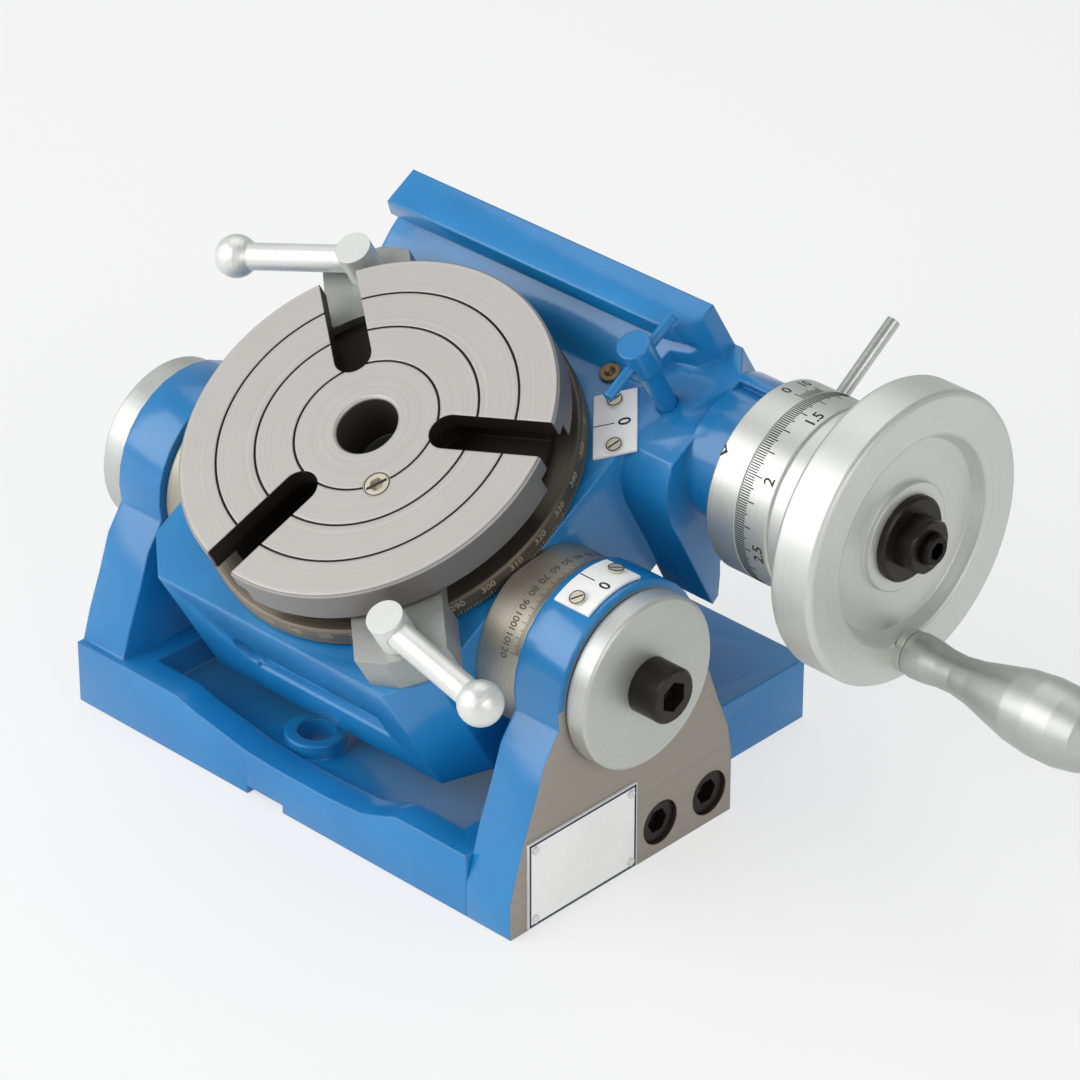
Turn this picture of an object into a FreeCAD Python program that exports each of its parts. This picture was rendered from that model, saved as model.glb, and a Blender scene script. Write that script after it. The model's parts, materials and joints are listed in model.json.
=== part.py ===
import FreeCAD
import Part
import math
import os
import Sketcher

# Tilting rotary table, in millimetres, +Z up. The origin lies on the ground face of the base,
# straight below the trunnion axis and in the middle plane of the table. +X points to the
# handwheel, +Y to the rear. The cradle is built level, with the trunnion axis at its origin,
# and every cradle piece is then turned forward about that axis by tilt_angle.

Vector = FreeCAD.Vector
Rotation = FreeCAD.Rotation

doc = FreeCAD.newDocument("tilting_rotary_table")
sheet = doc.addObject("Spreadsheet::Sheet", "Sizes")

SIZES = {
    # whole table
    "tilt_angle": 30.0,
    "axis_height": 63.3,
    "fit_gap": 0.03,
    "turn_gap": 0.05,
    "seat_gap": 0.2,
    # rotating table, level, heights from the trunnion axis
    "table_shift": 13.3,
    "table_top": 45.9,
    "disc_radius": 55.0,
    "disc_thick": 11.2,
    "neck_radius": 48.0,
    "neck_high": 5.8,
    "scale_radius": 55.3,
    "scale_high": 6.4,
    "hub_radius": 38.0,
    "spindle_radius": 16.0,
    "spindle_end": -21.0,
    "bore_radius": 9.0,
    "bore_long": 17.0,
    "socket_radius": 12.5,
    "taper_mouth": 8.9,
    "taper_end": 7.7,
    "edge_chamfer": 0.7,
    "groove_first": 21.0,
    "groove_pitch": 11.4,
    "groove_half": 0.35,
    "groove_deep": 0.6,
    "slot_angle": 20.0,
    "slot_width": 11.0,
    "slot_start": 25.0,
    "throat_deep": 5.6,
    "tee_width": 18.0,
    "tee_extra": 3.2,
    "plug_angle": -41.0,
    "plug_radius": 3.9,
    "plug_deep": 7.0,
    # worm gearing
    "module_size": 1.25,
    "teeth": 72.0,
    "worm_radius": 10.0,
    "tooth_thick": 1.6,
    "flank_angle": 20.0,
    "wheel_width": 10.0,
    "worm_high": 2.2,
    "worm_turns": 8.0,
    "wheel_screw_ring": 28.0,
    "wheel_screw_radius": 2.0,
    "wheel_screw_head": 3.5,
    "wheel_screw_long": 18.0,
    "lock_ring_radius": 24.0,
    "lock_ring_thick": 5.0,
    # cradle casting
    "body_half": 54.4,
    "body_front": -44.6,
    "body_rear": 89.6,
    "body_top": 22.0,
    "body_bottom": -22.0,
    "corner_cut": 11.0,
    "wing_x": 71.2,
    "wing_front": 40.7,
    "wing_floor": -31.0,
    "wing_lip": 9.6,
    "wing_corner": 6.0,
    "wall_top": 40.0,
    "wall_front": 77.6,
    "lip_thick": 7.0,
    "lip_undercut": 3.4,
    "lip_slope": 1.5,
    "ledge_front": 76.0,
    "ledge_rise": 5.0,
    "ledge_foot": 67.0,
    "wall_left_low": -56.0,
    "wall_left_top": -50.5,
    "wall_right": 62.3,
    "wall_corner": 11.7,
    "ledge_right": 46.0,
    "boss_radius": 22.5,
    "worm_neck_radius": 19.0,
    "lug_shift": 12.2,
    "boss_end": 84.5,
    "chamber_radius": 47.5,
    "chamber_roof": 10.0,
    "bush_wall": 4.0,
    "bush_flange": 8.0,
    "bush_flange_thick": 3.0,
    "cover_half": 49.0,
    "cover_thick": 4.0,
    "cover_screw_shift": 44.0,
    "cover_round": 9.0,
    "front_hole_x": -19.3,
    "front_hole_high": 0.4,
    "front_hole_radius": 5.6,
    "front_hole_deep": 7.0,
    "panel_low": -6.8,
    "panel_high": 3.6,
    "panel_end": 32.0,
    "panel_deep": 1.0,
    # trunnions and uprights
    "trunnion_radius": 25.2,
    "trunnion_chamfer": 0.8,
    "journal_radius": 13.0,
    "spigot_radius": 16.0,
    "spigot_long": 4.0,
    "trunnion_bush_wall": 3.0,
    "upright_inner": 70.0,
    "upright_thick": 16.3,
    "upright_left_inner": -67.2,
    "upright_left_thick": 16.6,
    "upright_round": 27.0,
    "upright_low_front": -45.2,
    "upright_low_rear": 41.6,
    "disc_lock_radius": 24.8,
    "disc_lock_thick": 6.9,
    "disc_lock_left_thick": 9.2,
    "lock_bolt_radius": 5.0,
    "lock_head_radius": 8.0,
    "lock_head_high": 9.0,
    "lock_bolt_grip": 18.0,
    "lock_hex": 8.0,
    "lock_hex_deep": 5.0,
    "flange_screw_ring": 18.5,
    "flange_screw_radius": 2.5,
    "flange_screw_head": 4.2,
    "flange_screw_sink": 5.2,
    "flange_screw_long": 20.0,
    # base casting
    "base_left": -83.8,
    "base_front": -45.2,
    "base_rear": 91.5,
    "base_high": 19.4,
    "base_corner": 1.3,
    "floor_high": 10.3,
    "rail_wide": 9.2,
    "side_rail": 10.0,
    "pad_left": 34.0,
    "pad_front": 50.0,
    "front_dip": 6.1,
    "front_dip_half": 43.2,
    "keyway_x": -8.0,
    "keyway_width": 14.0,
    "keyway_deep": 2.5,
    "hold_radius": 5.5,
    "hold_boss": 9.0,
    "hold_boss_high": 4.5,
    "hold_front": -25.0,
    "hold_pitch": 96.0,
    "plate_screw_y": 32.9,
    "plate_screw_pitch": 19.7,
    "plate_screw_high": 9.5,
    "plate_screw_radius": 4.0,
    "plate_screw_head": 6.5,
    "plate_screw_sink": 8.5,
    "plate_screw_grip": 9.0,
    "name_front": -39.1,
    "name_long": 42.0,
    "name_low": 0.8,
    "name_high": 27.0,
    "name_thick": 0.8,
    "pin_radius": 1.2,
    # index plates
    "index_thick": 0.8,
    "index_arc": 43.2,
    "index_start": -12.2,
    "index_width": 12.2,
    "index_inset": 2.5,
    "table_index_x": 47.8,
    "table_index_y": 53.8,
    "table_index_long": 21.0,
    "table_index_wide": 12.5,
    "table_index_turn": 38.5,
    "index_screw_radius": 1.3,
    "index_screw_head": 2.1,
    "index_screw_shift": 7.6,
    "oiler_x": 35.3,
    "oiler_y": 66.7,
    "oiler_radius": 3.0,
    # table clamps
    "clamp_ring": 64.0,
    "clamp_high": 12.0,
    "clamp_half": 12.9,
    "clamp_outer": 7.0,
    "clamp_bevel": 4.2,
    "tongue_inner": 48.4,
    "tongue_low": 29.2,
    "stud_radius": 4.0,
    "stud_depth": 12.0,
    "stud_head": 5.2,
    "stud_head_high": 10.6,
    "lever_long": 39.0,
    "lever_radius": 3.9,
    "ball_radius": 6.25,
    "lever_front_angle": -10.3,
    "lever_rear_angle": 202.5,
    # locking T-screw
    "tee_x": 56.7,
    "tee_y": 65.7,
    "tee_stem_radius": 3.0,
    "tee_bar_high": 43.3,
    "tee_head_radius": 4.7,
    "tee_head_top": 49.0,
    "tee_head_low": 39.0,
    "tee_bar_radius": 1.5,
    "tee_bar_long": 29.0,
    # eccentric sleeve and worm shaft
    "eccentric": 2.6,
    "sleeve_radius": 15.5,
    "sleeve_start": -37.0,
    "sleeve_bore": 11.6,
    "window_half": 26.0,
    "window_start": 80.0,
    "window_turn": 150.0,
    "collar_start": 84.8,
    "collar_long": 10.3,
    "collar_radius": 27.4,
    "rod_x": 88.0,
    "rod_angle": 5.0,
    "rod_radius": 2.0,
    "rod_start": 14.0,
    "rod_end": 53.5,
    "bush_gap": 27.0,
    "bush_inner_long": 9.5,
    "bush_outer_end": 80.0,
    "journal_small": 8.0,
    "thrust_radius": 10.6,
    "thrust_long": 2.6,
    "nut_radius": 11.2,
    "nut_long": 4.0,
    "seat_radius": 7.0,
    "stud_end_radius": 4.6,
    "stud_end": 142.0,
    # dial and handwheel
    "dial_start": 95.3,
    "dial_long": 11.2,
    "dial_bore": 16.0,
    "wheel_hub_radius": 27.2,
    "wheel_hub_end": 120.2,
    "wheel_face": 134.2,
    "wheel_radius": 41.8,
    "rim_inner": 29.1,
    "recess_deep": 4.2,
    "rim_round": 1.4,
    "pad_radius": 15.5,
    "pad_high": 1.6,
    "washer_radius": 12.2,
    "washer_thick": 2.2,
    "wheel_nut_radius": 8.0,
    "wheel_nut_high": 5.7,
    "key_width": 3.0,
    "key_start": 103.0,
    "key_long": 12.0,
    "crank_ring": 33.3,
    "crank_angle": -122.0,
    "spindle_screw": 3.5,
    "spindle_depth": 8.0,
    "spindle_shoulder": 6.2,
    "shoulder_thick": 2.2,
    "grip_end": 206.0,
    "grip_radius": 11.2,
    "grip_head": 5.0,
    "grip_head_thick": 3.0,
}


class Size:
    """A value together with the sheet expression that gives it."""

    def __init__(self, value, text):
        self.value = value
        self.text = text

    def __add__(self, other):
        other = as_size(other)
        return Size(self.value + other.value, f"({self.text} + {other.text})")

    def __radd__(self, other):
        return as_size(other) + self

    def __sub__(self, other):
        other = as_size(other)
        return Size(self.value - other.value, f"({self.text} - {other.text})")

    def __rsub__(self, other):
        return as_size(other) - self

    def __mul__(self, other):
        other = as_size(other)
        return Size(self.value * other.value, f"({self.text} * {other.text})")

    def __rmul__(self, other):
        return as_size(other) * self

    def __truediv__(self, other):
        other = as_size(other)
        return Size(self.value / other.value, f"({self.text} / {other.text})")

    def __neg__(self):
        return Size(-self.value, f"(-1 * {self.text})")


def as_size(item):
    """Any number or Size, as a Size."""
    if isinstance(item, Size):
        return item
    return Size(float(item), f"{float(item):.6f}")


def cosine(angle):
    angle = as_size(angle)
    return Size(math.cos(math.radians(angle.value)), f"cos({angle.text} * 1deg)")


def sine(angle):
    angle = as_size(angle)
    return Size(math.sin(math.radians(angle.value)), f"sin({angle.text} * 1deg)")


def tangent(angle):
    return sine(angle) / cosine(angle)


def fill_sheet():
    """Write every size to the sheet, then read them back from it by name."""
    for row, (alias, value) in enumerate(SIZES.items(), start=1):
        sheet.set(f"A{row}", alias)
        sheet.set(f"B{row}", str(value))
        sheet.setAlias(f"B{row}", alias)
    doc.recompute()
    return {alias: Size(float(sheet.get(alias)), f"Sizes.{alias}") for alias in SIZES}


S = fill_sheet()

# Turns that lay a shape built along +Z on another axis. Along X, angles count from +Y to +Z.
UPRIGHT = Rotation()
ALONG_X = Rotation(Vector(1, 1, 1), 120)
ALONG_Y = Rotation(Vector(1, 0, 0), -90)
NODES = []


def bind(item, **sizes):
    """Tie properties of an object to expressions of the sheet."""
    for name, size in sizes.items():
        size = as_size(size)
        setattr(item, name, size.value)
        item.setExpression(name, size.text)
    return item


def place(item, at=(0, 0, 0), turn=UPRIGHT):
    """Put an object at a point whose coordinates follow the sheet."""
    at = [as_size(part) for part in at]
    item.Placement = FreeCAD.Placement(Vector(*[part.value for part in at]), turn)
    for letter, part in zip("xyz", at):
        item.setExpression(f"Placement.Base.{letter}", part.text)
    return item


def cylinder(name, radius, length, at=(0, 0, 0), turn=UPRIGHT):
    item = doc.addObject("Part::Cylinder", name)
    bind(item, Radius=radius, Height=length)
    return place(item, at, turn)


def wedge_cylinder(name, radius, length, angle, at, turn):
    """A slice of a cylinder that spans the angle."""
    item = cylinder(name, radius, length, at, turn)
    return bind(item, Angle=angle)


def cone(name, radius_low, radius_high, length, at=(0, 0, 0), turn=UPRIGHT):
    item = doc.addObject("Part::Cone", name)
    bind(item, Radius1=radius_low, Radius2=radius_high, Height=length)
    return place(item, at, turn)


def sphere(name, radius, at):
    item = doc.addObject("Part::Sphere", name)
    bind(item, Radius=radius)
    return place(item, at)


def block(name, size, at, turn=UPRIGHT):
    item = doc.addObject("Part::Box", name)
    bind(item, Length=size[0], Width=size[1], Height=size[2])
    return place(item, at, turn)


def span(name, low, high):
    """A block from its lowest to its highest corner."""
    low = [as_size(part) for part in low]
    high = [as_size(part) for part in high]
    return block(name, [top - bottom for bottom, top in zip(low, high)], low)


def hexagon(name, across_flats, length, at, turn=UPRIGHT):
    item = doc.addObject("Part::Prism", name)
    item.Polygon = 6
    bind(item, Circumradius=across_flats / (2 * cosine(30)), Height=length)
    return place(item, at, turn)


def fuse(name, *parts):
    item = doc.addObject("Part::MultiFuse", name)
    item.Shapes = list(parts)
    item.Refine = False
    return item


def cut(name, base, *tools):
    item = doc.addObject("Part::Cut", name)
    item.Base = base
    item.Tool = tools[0] if len(tools) == 1 else fuse(name + "_tools", *tools)
    item.Refine = False
    return item


def common(name, *parts):
    item = doc.addObject("Part::MultiCommon", name)
    item.Shapes = list(parts)
    return item


def origin_plane(body, role):
    """The body's own origin plane with the given role."""
    for feature in body.Origin.OriginFeatures:
        if feature.Role == role:
            return feature
    raise ValueError(role)


def outline(body, name, role, points, offset=0):
    """A closed sketch through points whose two coordinates follow the sheet."""
    sketch = body.newObject("Sketcher::SketchObject", name)
    sketch.AttachmentSupport = (origin_plane(body, role), [""])
    sketch.MapMode = "FlatFace"
    offset = as_size(offset)
    sketch.AttachmentOffset = FreeCAD.Placement(Vector(0, 0, offset.value), Rotation())
    sketch.setExpression("AttachmentOffset.Base.z", offset.text)
    points = [(as_size(across), as_size(up)) for across, up in points]
    count = len(points)
    for index in range(count):
        start = points[index]
        stop = points[(index + 1) % count]
        line = Part.LineSegment(
            Vector(start[0].value, start[1].value, 0), Vector(stop[0].value, stop[1].value, 0)
        )
        sketch.addGeometry(line, False)
    for index in range(count):
        sketch.addConstraint(Sketcher.Constraint("Coincident", index, 2, (index + 1) % count, 1))
    for index, (across, up) in enumerate(points):
        for kind, size in (("DistanceX", across), ("DistanceY", up)):
            number = sketch.addConstraint(
                Sketcher.Constraint(kind, -1, 1, index, 1, size.value)
            )
            sketch.setExpression(f"Constraints[{number}]", size.text)
    return sketch


def prism(name, role, points, length, offset=0):
    """A body padded from an outline on one of its origin planes."""
    body = doc.addObject("PartDesign::Body", name)
    sketch = outline(body, name + "_outline", role, points, offset)
    pad = body.newObject("PartDesign::Pad", name + "_pad")
    pad.Profile = sketch
    bind(pad, Length=length)
    sketch.Visibility = False
    return body


def lathe(name, points, at=(0, 0, 0), turn=UPRIGHT):
    """A body turned about its own Z axis from an outline of (radius, height) points."""
    body = doc.addObject("PartDesign::Body", name)
    sketch = outline(body, name + "_outline", "XZ_Plane", points)
    turned = body.newObject("PartDesign::Revolution", name + "_turned")
    turned.Profile = sketch
    turned.ReferenceAxis = (sketch, ["V_Axis"])
    turned.Angle = 360
    sketch.Visibility = False
    return place(body, at, turn)


def node(label, *items, tilted=False):
    """Name a finished piece, or a group of alike pieces, and tilt it if the cradle carries it."""
    piece = doc.addObject("Part::Compound", label + "_piece")
    piece.Links = list(items)
    piece.Label = label
    if tilted:
        angle = S["tilt_angle"]
        piece.Placement = FreeCAD.Placement(
            Vector(0, 0, S["axis_height"].value), Rotation(Vector(1, 0, 0), angle.value)
        )
        piece.setExpression("Placement.Base.z", S["axis_height"].text)
        piece.setExpression("Placement.Rotation.Angle", angle.text)
    NODES.append(piece)
    return piece


def cradle(label, *items):
    return node(label, *items, tilted=True)


FIT = S["fit_gap"]
TURN = S["turn_gap"]
TABLE = S["table_shift"]
PITCH_RADIUS = S["module_size"] * S["teeth"] / 2
WORM_Y = TABLE + PITCH_RADIUS + S["worm_radius"]
WORM_Z = S["worm_high"]
SLEEVE_Z = WORM_Z + S["eccentric"]
AXIS = S["axis_height"]
DISC_LOW = S["table_top"] - S["disc_thick"]
NECK_LOW = DISC_LOW - S["neck_high"]
SCALE_LOW = NECK_LOW - S["scale_high"]
WHEEL_TOP = WORM_Z + S["wheel_width"] / 2
WHEEL_LOW = WORM_Z - S["wheel_width"] / 2
RIGHT_OUTER = S["upright_inner"] + S["upright_thick"]
LEFT_OUTER = S["upright_left_inner"] - S["upright_left_thick"]


def around_table(radius, angle):
    """The point at a radius and angle about the table axis, in the level cradle."""
    return radius * cosine(angle), TABLE + radius * sine(angle)


def lathe_on_worm(name, points):
    """A piece turned about the worm axis, with heights as X."""
    return lathe(name, points, (0, WORM_Y, WORM_Z), ALONG_X)


# Rotating table

def make_rotary_table():
    top = S["table_top"]
    cham = S["edge_chamfer"]
    bore = S["bore_radius"]
    rim = S["disc_radius"]
    points = [(bore, top - S["bore_long"]), (bore, top - cham), (bore + cham, top)]
    for index in range(3):
        middle = S["groove_first"] + index * S["groove_pitch"]
        inner = middle - S["groove_half"]
        outer = middle + S["groove_half"]
        floor = top - S["groove_deep"]
        points += [(inner, top), (inner, floor), (outer, floor), (outer, top)]
    points += [
        (rim - cham, top), (rim, top - cham), (rim, DISC_LOW + cham), (rim - cham, DISC_LOW),
        (S["neck_radius"], DISC_LOW), (S["neck_radius"], NECK_LOW),
        (S["hub_radius"], NECK_LOW), (S["hub_radius"], WHEEL_TOP),
        (S["spindle_radius"], WHEEL_TOP), (S["spindle_radius"], S["spindle_end"]),
        (S["socket_radius"], S["spindle_end"]), (S["socket_radius"], top - S["bore_long"]),
    ]
    blank = lathe("table_blank", points, (0, TABLE, 0))
    tools = []
    reach = S["disc_radius"] + 2
    for index in range(3):
        angle = S["slot_angle"] + 120 * index
        turn = Rotation(Vector(0, 0, 1), angle.value)
        tools += slot_tools(f"slot_{index}", angle, turn, reach)
    plug_x, plug_y = around_table(S["groove_first"], S["plug_angle"])
    tools.append(cylinder("plug_hole", S["plug_radius"] + FIT, S["plug_deep"] + 1,
                          (plug_x, plug_y, top - S["plug_deep"])))
    for index in range(4):
        x_at, y_at = around_table(S["wheel_screw_ring"], 45 + 90 * index)
        tools.append(cylinder(f"table_tap_{index}", S["wheel_screw_radius"] + FIT,
                              S["wheel_screw_long"], (x_at, y_at, WHEEL_LOW)))
    return cradle("rotary_table", cut("table_cut", blank, *tools))


def slot_tools(name, angle, turn, reach):
    """Throat and undercut of one T-slot, both with a round inner end."""
    tools = []
    throat = S["slot_width"] / 2
    tee = S["tee_width"] / 2
    low_tee = DISC_LOW - S["tee_extra"]
    low_throat = S["table_top"] - S["throat_deep"]
    start = S["slot_start"]
    layers = ((throat, low_throat, S["throat_deep"] + 1), (tee, low_tee, low_throat - low_tee))
    for index, (half, low, high) in enumerate(layers):
        x_at, y_at = around_table(start, angle)
        tools.append(cylinder(f"{name}_end_{index}", half, high, (x_at, y_at, low)))
        side_x = x_at + half * sine(angle)
        side_y = y_at - half * cosine(angle)
        bar = block(f"{name}_bar_{index}", (reach - start, 2 * half, high),
                    (side_x, side_y, low), turn)
        bar.setExpression("Placement.Rotation.Angle", angle.text)
        tools.append(bar)
    return tools


def make_table_plug():
    x_at, y_at = around_table(S["groove_first"], S["plug_angle"])
    top = S["table_top"]
    body = cylinder("plug_body", S["plug_radius"], S["plug_deep"],
                    (x_at, y_at, top - S["plug_deep"]))
    socket = hexagon("plug_socket", S["plug_radius"], S["plug_radius"],
                     (x_at, y_at, top - S["plug_radius"] / 2))
    cradle("table_plug_screw", cut("plug_cut", body, socket))


def make_graduated_ring():
    outer = S["scale_radius"]
    inner = S["hub_radius"] + FIT
    top = NECK_LOW - FIT
    cham = S["edge_chamfer"]
    points = [(inner, SCALE_LOW), (outer - cham, SCALE_LOW), (outer, SCALE_LOW + cham),
              (outer, top - cham), (outer - cham, top), (inner, top)]
    cradle("graduated_ring", lathe("scale_blank", points, (0, TABLE, 0)))


def make_worm_wheel():
    """Spur-like wheel: straight teeth, thin enough to run with the worm."""
    teeth = int(round(S["teeth"].value))
    lean = math.tan(math.radians(S["flank_angle"].value))
    pitch_radius = PITCH_RADIUS.value
    half_thick = S["tooth_thick"].value / 2
    tip = pitch_radius + S["module_size"].value
    root = pitch_radius - 1.25 * S["module_size"].value
    points = []
    for index in range(teeth):
        middle = math.pi / 2 + 2 * math.pi * index / teeth
        for radius, side in ((root, -1), (tip, -1), (tip, 1), (root, 1)):
            half = half_thick - (radius - pitch_radius) * lean
            angle = middle + side * half / radius
            points.append(Vector(radius * math.cos(angle), radius * math.sin(angle), 0))
    outline_wire = Part.makePolygon(points + [points[0]])
    gear = Part.Face(outline_wire).extrude(Vector(0, 0, S["wheel_width"].value))
    teeth_ring = doc.addObject("Part::Feature", "wheel_teeth")
    teeth_ring.Shape = gear
    place(teeth_ring, (0, TABLE, WHEEL_LOW))
    tools = [cylinder("wheel_bore", S["spindle_radius"] + FIT, S["wheel_width"] + 2,
                      (0, TABLE, WHEEL_LOW - 1))]
    for index in range(4):
        x_at, y_at = around_table(S["wheel_screw_ring"], 45 + 90 * index)
        tools.append(cylinder(f"wheel_hole_{index}", S["wheel_screw_radius"] + FIT,
                              S["wheel_width"] + 2, (x_at, y_at, WHEEL_LOW - 1)))
    cradle("worm_wheel", cut("wheel_cut", teeth_ring, *tools))


def make_wheel_screws():
    screws = []
    for index in range(4):
        x_at, y_at = around_table(S["wheel_screw_ring"], 45 + 90 * index)
        head_low = WHEEL_LOW - S["wheel_screw_head"]
        shank = cylinder(f"wheel_shank_{index}", S["wheel_screw_radius"],
                         S["wheel_screw_long"] - 1 + S["wheel_screw_head"],
                         (x_at, y_at, head_low))
        head = cylinder(f"wheel_head_{index}", S["wheel_screw_head"], S["wheel_screw_head"],
                        (x_at, y_at, head_low))
        socket = hexagon(f"wheel_socket_{index}", S["wheel_screw_head"],
                         S["wheel_screw_head"] / 2, (x_at, y_at, head_low))
        screws.append(cut(f"wheel_screw_{index}", fuse(f"wheel_bolt_{index}", shank, head), socket))
    cradle("wheel_screws", *screws)


def make_retaining_nut():
    top = WHEEL_LOW - FIT
    inner = S["spindle_radius"] + FIT
    outer = S["lock_ring_radius"]
    low = top - S["lock_ring_thick"]
    cham = S["edge_chamfer"]
    points = [(inner, low), (outer - cham, low), (outer, low + cham), (outer, top), (inner, top)]
    cradle("retaining_nut", lathe("retaining_blank", points, (0, TABLE, 0)))


def make_centre_sleeve():
    outer = S["socket_radius"] - FIT
    top = S["table_top"] - S["bore_long"] - FIT
    low = S["spindle_end"]
    points = [(S["taper_end"], low), (outer, low), (outer, top), (S["taper_mouth"], top)]
    cradle("centre_sleeve", lathe("centre_blank", points, (0, TABLE, 0)))


# Cradle

def make_cradle_casting():
    half = S["body_half"]
    front = S["body_front"]
    rear = S["body_rear"]
    corner = S["corner_cut"]
    low = S["body_bottom"]
    top = S["body_top"]
    plan = [(-half + corner, front), (half - corner, front), (half, front + corner),
            (half, rear), (-half, rear), (-half, front + corner)]
    main = prism("cradle_main", "XY_Plane", plan, top - low, low)
    wing = make_wing()
    solid = fuse("cradle_solid", main, wing, *make_worm_boss(), make_rear_wall())
    cradle("cradle_casting", cut("cradle_cut", solid, *cradle_tools()))


def make_wing():
    """Side of the casting that carries the worm boss, with a hooked foot in front."""
    front = S["wing_front"]
    rear = S["body_rear"]
    low = S["body_bottom"]
    top = S["body_top"]
    inner = S["body_half"] - 1
    corner = S["wing_corner"]
    drop = top - S["wing_floor"]
    shares = ((1, 0), (0.55, 0.07), (0.21, 0.16), (0.03, 0.3), (0, 0.52), (-0.06, 0.78),
              (-0.12, 1), (0.17, 0.99), (0.56, 0.89), (0.77, 0.82))
    side = [(front + S["wing_lip"] * across, top - drop * down) for across, down in shares]
    side += [(rear, low), (rear, top)]
    web = prism("wing_web", "YZ_Plane", side, S["wing_x"] - inner, inner)
    plan = [(inner - 1, front - 2), (S["wing_x"], front - 2), (S["wing_x"], rear - 1.4 * corner),
            (S["wing_x"] - corner, rear), (inner - 1, rear)]
    shape = prism("wing_plan", "XY_Plane", plan, top - S["wing_floor"], S["wing_floor"])
    return common("cradle_wing", web, shape)


def make_worm_boss():
    """Round neck that holds the sleeve beyond the wing, and the lug behind it."""
    start = S["wing_x"] - 1
    reach = S["boss_end"] - start
    at = (start, WORM_Y, SLEEVE_Z)
    neck = cylinder("worm_neck", S["worm_neck_radius"], reach, at, ALONG_X)
    outline = cylinder("lug_outline", S["boss_radius"], reach, at, ALONG_X)
    behind = span("lug_behind", (start - 1, WORM_Y + S["lug_shift"], S["body_bottom"]),
                  (S["boss_end"] + 1, WORM_Y + S["boss_radius"] + 1, S["body_top"]))
    return neck, common("worm_lug", outline, behind)


def make_rear_wall():
    """Raised wall with an overhanging lip; its left end slopes and its right end is cut back."""
    wall_front = S["wall_front"]
    top = S["wall_top"]
    lip_low = top - S["lip_thick"]
    ledge = S["body_top"] + S["ledge_rise"]
    deep = wall_front + S["lip_undercut"]
    low = S["body_top"] - 4
    section = [(S["body_rear"], low), (S["body_rear"], top), (wall_front, top),
               (wall_front, lip_low), (deep, lip_low - S["lip_slope"]),
               (deep, ledge + S["lip_slope"]), (S["ledge_front"], ledge),
               (S["ledge_foot"], S["body_top"]), (S["ledge_foot"], low)]
    left = S["wall_left_low"]
    right = S["wall_right"]
    rear = S["body_rear"]
    corner = S["wall_corner"]
    bar = prism("wall_bar", "YZ_Plane", section, right - left, left)
    ends = [(left, low), (right, low), (right, top), (S["wall_left_top"], top),
            (left, S["body_top"])]
    shape = prism("wall_ends", "XZ_Plane", ends, rear, -rear)
    plan = [(left, S["ledge_foot"] - 1), (S["ledge_right"], S["ledge_foot"] - 1),
            (right - corner, wall_front), (right - 5.3, wall_front + 1.4),
            (right, wall_front + 6.7), (right, rear), (left, rear)]
    corners = prism("wall_plan", "XY_Plane", plan, top - low, low)
    return common("rear_wall", bar, shape, corners)


def cradle_tools():
    low = S["body_bottom"]
    top = S["body_top"]
    half = S["body_half"]
    bush = S["hub_radius"] + S["bush_wall"] + FIT
    flange = S["hub_radius"] + S["bush_flange"] + FIT
    sleeve = S["sleeve_radius"] + TURN
    bore_start = S["sleeve_start"] - 1
    tools = [
        cylinder("bush_bore", bush, top - low, (0, TABLE, low + 10)),
        cylinder("bush_seat", flange, 20, (0, TABLE, top - S["bush_flange_thick"])),
        cylinder("wheel_chamber", S["chamber_radius"], S["chamber_roof"] - low + 1,
                 (0, TABLE, low - 1)),
        cylinder("sleeve_bore", sleeve, S["boss_end"] - bore_start + 1,
                 (bore_start, WORM_Y, SLEEVE_Z), ALONG_X),
        cylinder("front_hole", S["front_hole_radius"], S["front_hole_deep"] + 1,
                 (S["front_hole_x"], S["body_front"] - 1, S["front_hole_high"]), ALONG_Y),
        span("front_panel", (S["front_hole_x"], S["body_front"] - 1, S["panel_low"]),
             (S["panel_end"], S["body_front"] + S["panel_deep"], S["panel_high"])),
        cylinder("tee_hole", S["tee_stem_radius"] + TURN, 20, (S["tee_x"], S["tee_y"], SLEEVE_Z)),
        cylinder("oiler_hole", S["oiler_radius"] + FIT, 20, (S["oiler_x"], S["oiler_y"], SLEEVE_Z)),
    ]
    for angle in (-45, 135):
        x_at, y_at = around_table(S["clamp_ring"], angle)
        tools.append(cylinder(f"stud_hole_{angle + 45}", S["stud_radius"] + TURN,
                              S["stud_depth"] + 3, (x_at, y_at, top - S["stud_depth"] - 2)))
        seat = prism(f"clamp_seat_{angle + 45}", "XY_Plane", clamp_outline(2 * S["seat_gap"]),
                     S["wall_top"] - top + 2, top)
        tools.append(place(seat, (0, TABLE, 0), Rotation(Vector(0, 0, 1), angle)))
    for sign in (-1, 1):
        start = half - S["spigot_long"] if sign > 0 else -half - 1
        tools.append(cylinder(f"spigot_seat_{sign + 1}", S["spigot_radius"] + FIT,
                              S["spigot_long"] + 1, (start, 0, 0), ALONG_X))
        for index in range(4):
            y_at = S["flange_screw_ring"] * cosine(45 + 90 * index)
            z_at = S["flange_screw_ring"] * sine(45 + 90 * index)
            hole_start = half - 7 if sign > 0 else -half - 1
            tools.append(cylinder(f"flange_tap_{sign + 1}_{index}",
                                  S["flange_screw_radius"] + FIT, 8, (hole_start, y_at, z_at),
                                  ALONG_X))
    for index, (x_at, y_at) in enumerate(cover_screw_places()):
        tools.append(cylinder(f"cover_tap_{index}", S["index_screw_radius"] + 0.7 + FIT, 14,
                              (x_at, y_at, low - 1)))
    for index, (x_at, y_at) in enumerate(index_screw_places()):
        tools.append(cylinder(f"index_tap_{index}", S["index_screw_radius"] + FIT, 5,
                              (x_at, y_at, top - 3.4)))
    return tools


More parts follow.
